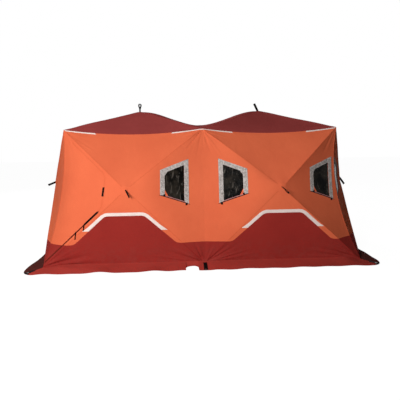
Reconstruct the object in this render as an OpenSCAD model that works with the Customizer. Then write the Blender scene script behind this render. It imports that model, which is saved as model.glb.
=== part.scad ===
// Pop-up ice fishing shelter: two square bays, eight hubs, insulated fabric walls and roof.
// Front is -Y, +X to the right, +Z up, origin on the ground at the middle of the plan.

/* [Shelter] */
// Side of one square bay at the ground
bay = 2150; // [1900:10:2400]
// Lean of every wall from the ground to the eave
lean = 230; // [150:5:300]
// Height of the eave corners
eave_z = 1830; // [1700:10:2000]
// Height of the two roof peaks
peak_z = 2135; // [2060:5:2250]
// Height of the wall hubs
hub_z = 1030; // [960:5:1100]
// How far a wall hub stands out from the flat of its wall
hub_bulge = 290; // [200:5:340]
// How far the hub of a long wall sits outward of the middle of its bay
hub_out = 15; // [0:5:30]

/* [Fabric] */
// Thickness of the insulated fabric
skin_t = 5; // [3:0.5:8]
// Dip of an eave between two corners
eave_dip = 70; // [30:5:110]
// How far an eave is pulled in between two corners
eave_in = 60; // [20:5:90]
// How far the left corner edges are pulled in between eave and ground
left_corner_in = 80; // [60:5:150]
// How far the right corner edges are pulled in between eave and ground
right_corner_in = 120; // [60:5:150]
// How far the middle edge between two bays is pulled out
mid_out = 90; // [30:5:110]
// Rise of the roof valley at half depth
valley_rise = 80; // [30:5:110]
// Softness of the fabric where two bays meet
meet_ease = 0.7; // [0:0.1:1]

/* [Base panels] */
// Height of the dark band at the foot of a wall
band_z = 300; // [220:5:360]
// Height of the raised middle of a base panel
scallop_z = 685; // [600:5:740]
// Half width of the raised middle at its top
scallop_half = 255; // [180:5:320]
// Sideways run of its flanks for each unit of height
scallop_run = 1.1; // [0.9:0.05:1.25]
// Corner radius of the raised middle
scallop_r = 120; // [30:5:150]
// How far the raised middle of a long wall sits outward of its hub
scallop_out = 25; // [0:5:40]
// Width of the reflective tape
reflector_w = 44; // [25:1:60]
// Lower end of the tape beside the raised middle
reflector_low = 485; // [400:5:540]
// Length of the tape along the eave from each corner
eave_tape_l = 420; // [250:10:600]
// Width of the tape along the eave
eave_tape_w = 28; // [20:1:50]

/* [Windows] */
// Distance from the hub to the near side of a window frame
win_near = 440; // [380:5:480]
// Distance from the hub to the far side of a window frame
win_far = 820; // [760:5:850]
// Height of the near side of a window frame
win_near_h = 325; // [260:5:360]
// Height of the far side of a window frame
win_far_h = 600; // [520:5:640]
// Height of the middle of a window frame above its hub
win_rise = 80; // [40:5:120]
// Width of the frame tape
win_tape = 60; // [40:1:75]
// Width of the lower edge of the frame
win_sill = 16; // [8:1:40]
// Thickness of the clear pane
pane_t = 2; // [1:0.5:3]

/* [Door] */
// Distance from the corner edge line to the fold of the flap
fold_in = 245; // [200:5:300]
// Distance from the fold to the blunt nose of the flap
door_nose = 485; // [400:5:520]
// Fabric left between a pole and the flap
jamb = 40; // [35:5:90]
// Corner radius at the nose
nose_r = 150; // [30:5:180]
// Clear gap along the zip
door_gap = 5; // [5:0.5:10]
// Radius of the fold piping
piping_r = 5; // [4:0.5:7]
// Width of the zip tape on the flap
zip_w = 18; // [12:1:30]

/* [Frame] */
// Diameter of a pole
pole_d = 11; // [8:0.5:13]
// Radius of the flat of fabric at a hub
pad_r = 42; // [36:1:55]
// Thickness of a hub body
hub_h = 26; // [24:1:32]
// Outer diameter of a pole socket
socket_d = 18; // [16:0.5:20]
// Length of a pole socket
socket_l = 60; // [40:1:80]
// Distance of the corner joints from the outer fabric
joint_in = 48; // [44:1:60]
// Height of the base joints
joint_foot = 24; // [20:1:30]
// Radius of the drum of a corner joint
joint_r = 17; // [17:0.5:19]

/* [Skirt and fittings] */
// Width of the ground skirt along the long walls
skirt_w = 285; // [200:5:340]
// Width of the ground skirt along the ends
end_skirt_w = 190; // [150:5:240]
// Corner radius of the skirt
skirt_r = 180; // [120:5:200]
// Thickness of the skirt
skirt_t = 3; // [2:0.5:5]
// Distance of the notch in the front skirt from the middle
notch_x = 174; // [140:2:240]
// Half width of the notch
notch_half = 83; // [50:1:110]
// Depth of the notch from the skirt's edge
notch_deep = 170; // [100:5:180]
// Width of a stake tab
tab_w = 50; // [40:1:60]
// Length of a corner stake tab
tab_l = 120; // [100:5:150]
// Length of a middle stake tab
mid_tab_l = 230; // [100:5:250]
// Radius of a stake eyelet
eyelet_r = 7; // [5:0.5:10]
// Length of a hub pull strap
strap_l = 125; // [90:5:150]
// Width of the strap webbing
strap_w = 25; // [15:1:30]
// Radius of the outer hub cap
cap_r = 30; // [24:1:34]
// Fall of the pulls of the long walls from straight out
long_pull_fall = 55; // [40:1:60]
// Sideways turn of the pulls of the long walls
long_pull_turn = 15; // [0:1:20]
// Fall of the pulls of the end walls from straight out
end_pull_fall = 35; // [0:1:60]
// Sideways turn of the right roof pull
roof_pull_turn = 25; // [0:1:40]

/* [Hidden] */
$fn = 32;

orange = "#D9603F";
dark_red = "#8C2B28";
roof_red = "#873634";
black = "#1B1718";
smoke = "#26221F";
silver = "#B8B0AC";
tape_white = "#F2E4E0";
pole_grey = "#2C2A29";
fitting_grey = "#232122";
half_l = bay;
half_d = bay / 2;
hub_lean = lean * hub_z / eave_z;
hub_x = (half_l - hub_lean) / 2 + hub_out;
hub_y = half_d - hub_lean + hub_bulge;
end_hub_x = half_l - hub_lean + hub_bulge;
peak_x = (half_l - lean) / 2;
edge_steps = 6;
arc_steps = 6;
tape_t = 1.5;
pole_play = 0.3;
strap_t = 3;
cap_h = 5;
hub_margin = 2;
hub_bite = 8;
joint_bite = 5;
joint_margin = 1;
seat_play = 0.1;
cut_depth = 1200;
far = 3000;
door_share = 1 - fold_in / (half_l - lean / 2 - hub_x);
ring_shares = [0, 0.3, 0.55, door_share, 1];
hub_in = skin_t + hub_h / 2;
eave_sag = [0, eave_in, -eave_dip];
end_eave_sag = [eave_in, 0, -eave_dip];
mid_sag = [0, -mid_out, 0];
valley_sag = [0, 0, valley_rise];
no_sag = [0, 0, 0];

// Corners of the shelter at a depth d under the outer fabric
function base_pt(sx, sy, d) = [sx * (half_l - d), sy * (half_d - d), 0];
function top_pt(sx, sy, d) = [sx * (half_l - lean - d), sy * (half_d - lean - d), eave_z - d];
function long_hub(d) = [-hub_x, d - hub_y, hub_z];
function end_hub(d) = [d - end_hub_x, 0, hub_z];
function roof_hub(d) = [-peak_x, 0, peak_z - d];
function unit(v) = v / norm(v);

// A free edge between two corners: each entry is a point and its share of softness
function edge_pt(a, b, sag, t) = a + (b - a) * t + 4 * t * (1 - t) * sag;
function edge_run(a, b, sag, soft) =
    [for (i = [0:edge_steps - 1]) let (t = i / edge_steps) [edge_pt(a, b, sag, t), soft * 4 * t * (1 - t)]];

// A point on the way from the flat of a hub to a point of its edge
function pad_pt(hub, axis, e) =
    hub + pad_r * unit([for (k = [0:2]) k == axis ? 0 : e[k] - hub[k]]);
function ray_pt(hub, axis, e, soft, s) =
    let (p = pad_pt(hub, axis, e), g = s + meet_ease * soft * (s * s * (3 - 2 * s) - s))
    [for (k = [0:2]) p[k] + (k == axis ? g : s) * (e[k] - p[k])];

// The doorway quarter is flat as far as the straight fold, then runs on to the corner edge
function fold_pt(d, t) =
    let (low = ray_pt(long_hub(d), 1, base_pt(-1, -1, d), 0, door_share),
        high = ray_pt(long_hub(d), 1, top_pt(-1, -1, d), 0, door_share))
    low + (high - low) * t;
function door_ray_pt(d, e, t, s) =
    let (p = pad_pt(long_hub(d), 1, e), c = fold_pt(d, t))
    s <= door_share ? p + s / door_share * (c - p) : c + (s - door_share) / (1 - door_share) * (e - c);

// Edges of the front left wall, the left end wall and the left roof, clockwise from outside;
// pull is how far the corner edges are pulled in
function long_edges(d, pull) = concat(
    edge_run(top_pt(-1, -1, d), top_pt(0, -1, d), eave_sag, 0),
    edge_run(top_pt(0, -1, d), base_pt(0, -1, d), mid_sag, 1),
    edge_run(base_pt(0, -1, d), base_pt(-1, -1, d), no_sag, 0),
    edge_run(base_pt(-1, -1, d), top_pt(-1, -1, d), [pull, pull, 0], 0));
function end_edges(d, pull) = concat(
    edge_run(top_pt(-1, 1, d), top_pt(-1, -1, d), end_eave_sag, 0),
    edge_run(top_pt(-1, -1, d), base_pt(-1, -1, d), [pull, pull, 0], 0),
    edge_run(base_pt(-1, -1, d), base_pt(-1, 1, d), no_sag, 0),
    edge_run(base_pt(-1, 1, d), top_pt(-1, 1, d), [pull, -pull, 0], 0));
function roof_edges(d) = concat(
    edge_run(top_pt(-1, -1, d), top_pt(-1, 1, d), end_eave_sag, 0),
    edge_run(top_pt(-1, 1, d), top_pt(0, 1, d), [0, -eave_in, -eave_dip], 0),
    edge_run(top_pt(0, 1, d), top_pt(0, -1, d), valley_sag, 1),
    edge_run(top_pt(0, -1, d), top_pt(-1, -1, d), eave_sag, 0));

// One face of a skin: the hub point, then rings out to the edges
function face_pts(hub, axis, edges) = concat([hub],
    [for (s = ring_shares) for (e = edges) ray_pt(hub, axis, e[0], e[1], s)]);
function door_face_pts(d) = let (edges = long_edges(d, left_corner_in), hub = long_hub(d)) concat([hub],
    [for (s = ring_shares) for (i = [0:len(edges) - 1]) let (e = edges[i], t = i / edge_steps - 3)
        t > 0 ? door_ray_pt(d, e[0], t, s) : ray_pt(hub, 1, e[0], e[1], s)]);

// A closed skin between an outer and an inner face with the same rings.
// The quads of its rim meet at their middles, so that neighbouring skins share them.
module skin(outer, inner) {
    n = 4 * edge_steps;
    rings = len(ring_shares);
    m = len(outer);
    rim = 1 + (rings - 1) * n;
    rim_mids = [for (i = [0:n - 1]) let (k = (i + 1) % n)
        (outer[rim + i] + outer[rim + k] + inner[rim + i] + inner[rim + k]) / 4];
    out_faces = [for (i = [0:n - 1]) let (k = (i + 1) % n) each concat([[0, 1 + i, 1 + k]],
        [for (j = [0:rings - 2]) let (a = 1 + j * n, b = a + n) each
            [[a + i, b + i, b + k], [a + i, b + k, a + k]]])];
    in_faces = [for (f = out_faces) [f[2] + m, f[1] + m, f[0] + m]];
    rim_faces = [for (i = [0:n - 1]) let (k = (i + 1) % n,
            loop = [rim + k, rim + i, m + rim + i, m + rim + k])
        each [for (c = [0:3]) [loop[c], loop[(c + 1) % 4], 2 * m + i]]];
    polyhedron(concat(outer, inner, rim_mids), concat(out_faces, in_faces, rim_faces), convexity = 6);
}
function corner_pull(sx) = sx < 0 ? left_corner_in : right_corner_in;
module long_skin(d0, d1, sx, has_door = false) {
    pull = corner_pull(sx);
    if (has_door) skin(door_face_pts(d0), door_face_pts(d1));
    else skin(face_pts(long_hub(d0), 1, long_edges(d0, pull)),
        face_pts(long_hub(d1), 1, long_edges(d1, pull)));
}
module end_skin(d0, d1, sx) {
    pull = corner_pull(sx);
    skin(face_pts(end_hub(d0), 0, end_edges(d0, pull)), face_pts(end_hub(d1), 0, end_edges(d1, pull)));
}
module roof_skin(d0, d1) {
    skin(face_pts(roof_hub(d0), 2, roof_edges(d0)), face_pts(roof_hub(d1), 2, roof_edges(d1)));
}

// Places of the four long walls, the two ends and the two roofs, from the left front ones
module at_long(sx, sy) {
    mirror([sx > 0 ? 1 : 0, 0, 0]) mirror([0, sy > 0 ? 1 : 0, 0]) children();
}
module at_end(sx) {
    mirror([sx > 0 ? 1 : 0, 0, 0]) children();
}

// An outline with rounded corners: points and their radii
function corner_arc(p0, p1, p2, r) =
    let (u = unit(p0 - p1), v = unit(p2 - p1), half = acos(u * v) / 2,
        c = p1 + unit(u + v) * r / sin(half), a = p1 + u * r / tan(half) - c, b = p1 + v * r / tan(half) - c,
        a0 = atan2(a.y, a.x), turn = atan2(a.x * b.y - a.y * b.x, a * b))
    [for (i = [0:arc_steps]) c + r * [cos(a0 + turn * i / arc_steps), sin(a0 + turn * i / arc_steps)]];
function rounded(pts, radii) = [for (i = [0:len(pts) - 1])
    each radii[i] > 0 ?
        corner_arc(pts[(i + len(pts) - 1) % len(pts)], pts[i], pts[(i + 1) % len(pts)], radii[i]) : [pts[i]]];

// Outlines seen square on to a wall, measured from the hub sideways and from the ground up
function flank_x(z, grow) =
    scallop_half + scallop_run * (scallop_z - z) + grow * sqrt(1 + scallop_run * scallop_run);
module base_outline() {
    top = [flank_x(scallop_z, 0), scallop_z];
    foot = [flank_x(band_z, 0), band_z];
    polygon(rounded([[-far, -far], [-far, band_z], [-foot.x, foot.y], [-top.x, top.y], top, foot,
        [far, band_z], [far, -far]], [0, 0, scallop_r, scallop_r, scallop_r, scallop_r, 0, 0]));
}
function tape_edge(grow) =
    let (z = scallop_z + grow, x = flank_x(z, grow), foot = flank_x(reflector_low, grow))
    rounded([[-foot, reflector_low], [-x, z], [x, z], [foot, reflector_low]],
        [0, scallop_r + grow, scallop_r + grow, 0]);
module reflector_outline() {
    inner = tape_edge(0);
    polygon(concat(tape_edge(reflector_w), [for (i = [len(inner) - 1:-1:0]) inner[i]]));
}
function win_half_h(x) =
    (win_near_h + (win_far_h - win_near_h) * (x - win_near) / (win_far - win_near)) / 2;
function win_mid_z() = hub_z + win_rise;
module window_outline() {
    polygon([for (c = [[win_near, -1], [win_near, 1], [win_far, 1], [win_far, -1]])
        [c.x, win_mid_z() + c.y * win_half_h(c.x)]]);
}
module pane_outline() {
    polygon([for (c = [[win_near + win_tape, -1], [win_near + win_tape, 1],
            [win_far - win_tape, 1], [win_far - win_tape, -1]])
        [c.x, win_mid_z() + c.y * (win_half_h(c.x) - (c.y > 0 ? win_tape : win_sill))]]);
}
module outward() {
    translate([-scallop_out, 0]) children();
}
module both_sides() {
    children();
    mirror([1, 0, 0]) children();
}
module long_cut() {
    translate([-hub_x, -hub_y, 0]) rotate([90, 0, 0]) linear_extrude(cut_depth, center = true) children();
}
module end_cut() {
    translate([-end_hub_x, 0, 0]) rotate([90, 0, 90]) linear_extrude(cut_depth, center = true) children();
}

// Local frame of the door: X from the fold to the hub, Y up the fold, Z outward
fold_low = fold_pt(skin_t / 2, 0);
fold_high = fold_pt(skin_t / 2, 1);
fold_l = norm(fold_high - fold_low);
fold_up = unit(fold_high - fold_low);
low_pad = pad_pt(long_hub(skin_t / 2), 1, base_pt(-1, -1, 0));
high_pad = pad_pt(long_hub(skin_t / 2), 1, top_pt(-1, -1, 0));
nose_aim = (low_pad + high_pad) / 2 - fold_low;
fold_side = unit(nose_aim - (nose_aim * fold_up) * fold_up);
fold_out = cross(fold_side, fold_up);
pole_low = low_pad - fold_low;
pole_high = high_pad - fold_low;
low_rate = (pole_low * fold_up) / (pole_low * fold_side);
high_rate = (pole_high * fold_up - fold_l) / (pole_high * fold_side);
function door_low(x) = low_rate * x + jamb * sqrt(1 + low_rate * low_rate);
function door_high(x) = fold_l + high_rate * x - jamb * sqrt(1 + high_rate * high_rate);
module on_door() {
    multmatrix([for (k = [0:2]) [fold_side[k], fold_up[k], fold_out[k], fold_low[k]]]) children();
}
module door_outline(x0, grow) {
    lo = grow * sqrt(1 + low_rate * low_rate);
    hi = grow * sqrt(1 + high_rate * high_rate);
    nose = door_nose + grow;
    polygon(rounded([[x0, door_low(x0) - lo], [nose, door_low(nose) - lo],
        [nose, door_high(nose) + hi], [x0, door_high(x0) + hi]], [0, nose_r + grow, nose_r + grow, 0]));
}
door_edge = piping_r + pole_play;

// Walls above the base panels
module upper_long_wall(sx, has_door, out_window) {
    color(orange) difference() {
        long_skin(0, skin_t, sx, has_door);
        long_cut() outward() base_outline();
        long_cut() pane_outline();
        if (out_window) long_cut() mirror([1, 0, 0]) pane_outline();
        if (has_door) on_door() linear_extrude(2 * jamb, center = true) door_outline(-piping_r, door_gap);
    }
}
module front_left_wall() { at_long(-1, -1) upper_long_wall(-1, true, false); }
module front_right_wall() { at_long(1, -1) upper_long_wall(1, false, true); }
module back_left_wall() { at_long(-1, 1) upper_long_wall(-1, false, false); }
module back_right_wall() { at_long(1, 1) upper_long_wall(1, false, true); }
module left_end_wall() {
    color(orange) difference() {
        end_skin(0, skin_t, -1);
        end_cut() base_outline();
    }
}
module right_end_wall() {
    color(orange) at_end(1) difference() {
        end_skin(0, skin_t, 1);
        end_cut() base_outline();
        end_cut() both_sides() pane_outline();
    }
}

// Dark base panels
module long_base(sx) {
    color(dark_red) intersection() {
        long_skin(0, skin_t, sx);
        long_cut() outward() base_outline();
    }
}
module door_base() {
    color(dark_red) difference() {
        intersection() {
            long_skin(0, skin_t, -1, true);
            long_cut() outward() base_outline();
        }
        on_door() linear_extrude(2 * jamb, center = true) door_outline(-piping_r, door_gap);
    }
}
module end_base(sx) {
    color(dark_red) intersection() {
        end_skin(0, skin_t, sx);
        end_cut() base_outline();
    }
}
module front_left_base() { door_base(); }
module front_right_base() { at_long(1, -1) long_base(1); }
module back_left_base() { at_long(-1, 1) long_base(-1); }
module back_right_base() { at_long(1, 1) long_base(1); }
module left_end_base() { end_base(-1); }
module right_end_base() { at_end(1) end_base(1); }

// Roof bays
module left_roof() { color(roof_red) roof_skin(0, skin_t); }
module right_roof() { color(roof_red) at_end(1) roof_skin(0, skin_t); }

// Ground skirts, split at the rounded corners, with a notch at the front and back and eyelets under the tabs
skirt_seat = max(0, skirt_t * (hub_bulge - hub_lean) / hub_z) + seat_play;
skirt_l = half_l + end_skirt_w;
skirt_d = half_d + skirt_w;
inner_l = half_l + skirt_seat;
inner_d = half_d + skirt_seat;
eyelet_edge = 3 * eyelet_r;
skirt_tip = [skirt_l, skirt_d] - skirt_r * (1 - sqrt(0.5)) * [1, 1];
tip_way = unit(skirt_tip - [inner_l, inner_d]);
corner_eyelet = skirt_tip - 2 * eyelet_edge * tip_way;
mid_eyelet = [0, skirt_d - eyelet_edge];
function skirt_arc(from, to) = [for (i = [0:arc_steps]) let (a = from + (to - from) * i / arc_steps)
    [-skirt_l + skirt_r, -skirt_d + skirt_r] - skirt_r * [cos(a), sin(a)]];
function turned(pts) = [for (i = [len(pts) - 1:-1:0]) [pts[i].x, -pts[i].y]];
function across(pts) = [for (i = [len(pts) - 1:-1:0]) [-pts[i].x, pts[i].y]];
module eyelets() {
    for (p = [corner_eyelet, mid_eyelet], sx = [-1, 1], sy = [-1, 1])
        translate([sx * p.x, sy * p.y]) circle(r = eyelet_r);
}
module notch() {
    translate([-notch_x, -skirt_d]) union() {
        translate([-notch_half, -notch_half]) square([2 * notch_half, notch_deep]);
        translate([0, notch_deep - notch_half]) circle(r = notch_half);
    }
}
module skirt(pts) {
    color(dark_red) linear_extrude(skirt_t) difference() {
        polygon(pts);
        eyelets();
        notch();
    }
}
module front_left_skirt() {
    skirt(concat([[-inner_l, -inner_d]], skirt_arc(45, 90), [[-notch_x, -skirt_d], [-notch_x, -inner_d]]));
}
module front_right_skirt() {
    skirt(concat([[-notch_x, -inner_d], [-notch_x, -skirt_d]], across(skirt_arc(45, 90)),
        [[inner_l, -inner_d]]));
}
module back_right_skirt() { rotate(180) front_left_skirt(); }
module back_left_skirt() { rotate(180) front_right_skirt(); }
module left_end_skirt() {
    skirt(concat([[-inner_l, -inner_d], [-inner_l, inner_d]], turned(skirt_arc(0, 45)), skirt_arc(0, 45)));
}
module right_end_skirt() { rotate(180) left_end_skirt(); }

// Door flap, its half of the zip and the piping that it folds on
module door_flap() {
    color(orange) on_door() linear_extrude(skin_t, center = true) door_outline(door_edge, 0);
}
module door_zip() {
    color(black) on_door() translate([0, 0, skin_t / 2]) linear_extrude(tape_t) difference() {
        door_outline(door_edge + zip_w, 0);
        door_outline(door_edge, -zip_w);
    }
}
module door_piping() {
    color(orange) on_door() rotate([-90, 0, 0])
        translate([0, 0, door_low(0)]) cylinder(h = door_high(0) - door_low(0), r = piping_r);
}

// Windows: clear panes in their openings and the tape round them
pane_in = (skin_t - pane_t) / 2;
module long_pane(sx) {
    color(smoke) intersection() {
        long_skin(pane_in, pane_in + pane_t, sx);
        long_cut() children();
    }
}
module long_frame(sx) {
    color(silver) intersection() {
        long_skin(-tape_t, 0, sx);
        long_cut() children();
    }
}
module frame_outline() {
    difference() {
        window_outline();
        pane_outline();
    }
}
module front_window_panes() {
    at_long(-1, -1) long_pane(-1) pane_outline();
    at_long(1, -1) long_pane(1) both_sides() pane_outline();
}
module front_window_frames() {
    at_long(-1, -1) long_frame(-1) frame_outline();
    at_long(1, -1) long_frame(1) both_sides() frame_outline();
}
module back_window_panes() { mirror([0, 1, 0]) front_window_panes(); }
module back_window_frames() { mirror([0, 1, 0]) front_window_frames(); }
module end_window_panes() {
    color(smoke) at_end(1) intersection() {
        end_skin(pane_in, pane_in + pane_t, 1);
        end_cut() both_sides() pane_outline();
    }
}
module end_window_frames() {
    color(silver) at_end(1) intersection() {
        end_skin(-tape_t, 0, 1);
        end_cut() both_sides() frame_outline();
    }
}

// Reflective tapes
eave_line = [for (i = [0:edge_steps])
    edge_pt(top_pt(-1, -1, 0), top_pt(0, -1, 0), eave_sag, i / edge_steps) + [hub_x, 0, 0]];
module eave_tape_outline() {
    intersection() {
        polygon(concat([for (e = eave_line) [e.x, e.z - eave_tape_w]], [[far, far], [-far, far]]));
        union() {
            translate([eave_line[0].x - eave_tape_l, 0]) square([2 * eave_tape_l, far]);
            translate([eave_line[edge_steps].x - eave_tape_l, 0]) square([2 * eave_tape_l, far]);
        }
    }
}
module eave_reflectors() {
    color(tape_white) for (sx = [-1, 1], sy = [-1, 1]) at_long(sx, sy) intersection() {
        long_skin(-tape_t, 0, sx, sx < 0 && sy < 0);
        long_cut() eave_tape_outline();
    }
}
module base_reflectors() {
    color(tape_white) for (sx = [-1, 1], sy = [-1, 1]) at_long(sx, sy) intersection() {
        long_skin(-tape_t, 0, sx);
        long_cut() outward() reflector_outline();
    }
}

// Poles run from the hub sockets to the joints at the corners
function top_joint(sx, sy) = top_pt(sx, sy, joint_in);
function base_joint(sx, sy) = base_pt(sx, sy, joint_in) + [0, 0, joint_foot];
long_ends = [top_joint(-1, -1), top_joint(0, -1), base_joint(0, -1), base_joint(-1, -1)];
end_ends = [top_joint(-1, 1), top_joint(-1, -1), base_joint(-1, -1), base_joint(-1, 1)];
roof_ends = [top_joint(-1, -1), top_joint(-1, 1), top_joint(0, 1), top_joint(0, -1)];
module along(from, to) {
    v = to - from;
    translate(from) rotate([0, acos(v.z / norm(v)), atan2(v.y, v.x)]) children();
}
hub_core = pad_r - hub_margin;
socket_floor = hub_core - hub_bite;
joint_floor = joint_r - joint_bite;
joint_half = joint_r - joint_margin;
joint_seat = sqrt(joint_half * joint_half - socket_d * socket_d / 4) - pole_play;
module pole(from, to) {
    along(from, to) translate([0, 0, socket_floor + pole_play])
        cylinder(h = norm(to - from) - socket_floor - joint_floor - 2 * pole_play, d = pole_d);
}
module hub(at, ends, turn) {
    difference() {
        union() {
            translate(at) rotate(turn) cylinder(h = hub_h, r = hub_core, center = true);
            for (e = ends) along(at, e) cylinder(h = hub_core + socket_l, d = socket_d);
        }
        for (e = ends) along(at, e) translate([0, 0, socket_floor])
            cylinder(h = hub_core + 2 * socket_l, d = pole_d + 2 * pole_play);
        translate(at) rotate(turn) cylinder(h = 2 * hub_h, r = pole_d / 2, center = true);
    }
}
module joint(at, hubs) {
    difference() {
        union() {
            translate(at) cylinder(h = 2 * joint_half, r = joint_r, center = true);
            for (h = hubs) along(at, h) translate([0, 0, joint_seat]) cylinder(h = socket_l, d = socket_d);
        }
        for (h = hubs) along(at, h) translate([0, 0, joint_floor])
            cylinder(h = joint_r + 2 * socket_l, d = pole_d + 2 * pole_play);
    }
}
function flip(p, sx, sy) = [p.x * sx, p.y * sy, p.z];
module long_poles(sy) {
    color(pole_grey) for (sx = [-1, 1]) at_long(sx, sy) for (e = long_ends) pole(long_hub(hub_in), e);
}
module front_poles() { long_poles(-1); }
module back_poles() { long_poles(1); }
module end_poles() {
    color(pole_grey) for (sx = [-1, 1]) at_end(sx) for (e = end_ends) pole(end_hub(hub_in), e);
}
module roof_poles() {
    color(pole_grey) for (sx = [-1, 1]) at_end(sx) for (e = roof_ends) pole(roof_hub(hub_in), e);
}
module long_hubs(sy) {
    color(fitting_grey) for (sx = [-1, 1]) at_long(sx, sy) hub(long_hub(hub_in), long_ends, [90, 0, 0]);
}
module front_hubs() { long_hubs(-1); }
module back_hubs() { long_hubs(1); }
module end_hubs() {
    color(fitting_grey) for (sx = [-1, 1]) at_end(sx) hub(end_hub(hub_in), end_ends, [0, 90, 0]);
}
module roof_hubs() {
    color(fitting_grey) for (sx = [-1, 1]) at_end(sx) hub(roof_hub(hub_in), roof_ends, [0, 0, 0]);
}
module top_corner_joints() {
    color(fitting_grey) {
        for (sx = [-1, 1], sy = [-1, 1]) at_long(sx, sy)
            joint(top_joint(-1, -1), [long_hub(hub_in), end_hub(hub_in), roof_hub(hub_in)]);
        for (sy = [-1, 1]) at_long(-1, sy) joint(top_joint(0, -1),
            [for (sx = [1, -1], h = [long_hub(hub_in), roof_hub(hub_in)]) flip(h, sx, 1)]);
    }
}
module base_corner_joints() {
    color(fitting_grey) {
        for (sx = [-1, 1], sy = [-1, 1]) at_long(sx, sy)
            joint(base_joint(-1, -1), [long_hub(hub_in), end_hub(hub_in)]);
        for (sy = [-1, 1]) at_long(-1, sy)
            joint(base_joint(0, -1), [for (sx = [1, -1]) flip(long_hub(hub_in), sx, 1)]);
    }
}

// Outer hub caps with their webbing pulls, and the stake tabs
strap_stem = 2 * strap_w;
function loop_edge(half, low, high, r) = rounded(
    [[-strap_t, low], [-half, high - half], [-half, high], [half, high], [half, high - half], [strap_t, low]],
    [0, r, r, r, r, 0]);
module strap_outline() {
    half = strap_w / 2;
    difference() {
        polygon(loop_edge(half, 0, strap_l, half - strap_t));
        polygon(loop_edge(half - strap_t, strap_stem, strap_l - strap_t, half - 2 * strap_t));
    }
}
module hub_pull(lean_down, lean_side) {
    difference() {
        union() {
            cylinder(h = cap_h, r = cap_r);
            translate([0, 0, cap_h / 2]) rotate([lean_down, lean_side, 0]) rotate([90, 0, 0])
                linear_extrude(strap_w, center = true) strap_outline();
        }
        translate([0, 0, -2 * cap_r]) cylinder(h = 2 * cap_r, r = 2 * cap_r);
    }
}
module hub_pulls() {
    color(black) {
        for (sx = [-1, 1], sy = [-1, 1]) at_long(sx, sy) translate(long_hub(0)) rotate([90, 0, 0])
            hub_pull(long_pull_fall, -long_pull_turn * sx);
        for (sx = [-1, 1]) at_end(sx) translate(end_hub(0)) rotate([0, -90, 0]) rotate(-90)
            hub_pull(end_pull_fall, 0);
        for (sx = [-1, 1]) at_end(sx) translate(roof_hub(0)) hub_pull(0, sx > 0 ? roof_pull_turn : 0);
    }
}
// A stake tab that leads to its eyelet at the origin
module tab(long) {
    reach = long - tab_w / 2;
    linear_extrude(skirt_t) difference() {
        union() {
            translate([-tab_w / 2, -reach]) square([tab_w, reach]);
            circle(d = tab_w);
        }
        circle(r = eyelet_r);
    }
}
module stake_tabs() {
    color(black) {
        for (sx = [-1, 1], sy = [-1, 1]) at_long(sx, sy)
            translate([-corner_eyelet.x, -corner_eyelet.y, skirt_t])
                rotate(90 + atan2(tip_way.y, tip_way.x)) tab(tab_l);
        for (sy = [-1, 1]) at_long(-1, sy)
            translate([mid_eyelet.x, -mid_eyelet.y, skirt_t]) rotate(180) tab(mid_tab_l);
    }
}

front_left_wall();
front_right_wall();
back_left_wall();
back_right_wall();
left_end_wall();
right_end_wall();
front_left_base();
front_right_base();
back_left_base();
back_right_base();
left_end_base();
right_end_base();
left_roof();
right_roof();
front_left_skirt();
front_right_skirt();
back_left_skirt();
back_right_skirt();
left_end_skirt();
right_end_skirt();
door_flap();
door_zip();
door_piping();
front_window_panes();
front_window_frames();
back_window_panes();
back_window_frames();
end_window_panes();
end_window_frames();
eave_reflectors();
base_reflectors();
front_poles();
back_poles();
end_poles();
roof_poles();
front_hubs();
back_hubs();
end_hubs();
roof_hubs();
top_corner_joints();
base_corner_joints();
hub_pulls();
stake_tabs();
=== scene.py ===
"""Looks of the two-bay pop-up ice fishing shelter, in metres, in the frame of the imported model."""
import math
from contextlib import contextmanager

import bmesh
import bpy
import numpy as np
from mathutils import Matrix, Vector
from mathutils.bvhtree import BVHTree


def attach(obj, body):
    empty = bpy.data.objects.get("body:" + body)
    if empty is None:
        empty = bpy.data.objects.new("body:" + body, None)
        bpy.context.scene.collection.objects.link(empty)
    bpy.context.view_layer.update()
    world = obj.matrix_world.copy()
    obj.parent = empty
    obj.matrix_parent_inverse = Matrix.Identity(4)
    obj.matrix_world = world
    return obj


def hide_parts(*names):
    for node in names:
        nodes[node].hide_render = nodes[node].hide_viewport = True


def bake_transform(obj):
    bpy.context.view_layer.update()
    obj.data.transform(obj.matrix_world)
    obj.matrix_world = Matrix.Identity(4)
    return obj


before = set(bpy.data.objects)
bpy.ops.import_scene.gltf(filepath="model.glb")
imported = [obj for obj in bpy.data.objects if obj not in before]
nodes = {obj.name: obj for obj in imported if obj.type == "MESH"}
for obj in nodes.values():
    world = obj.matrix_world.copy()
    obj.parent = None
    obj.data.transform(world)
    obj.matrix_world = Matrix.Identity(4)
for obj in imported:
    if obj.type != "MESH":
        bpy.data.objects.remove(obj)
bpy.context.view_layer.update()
scene = bpy.context.scene

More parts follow.
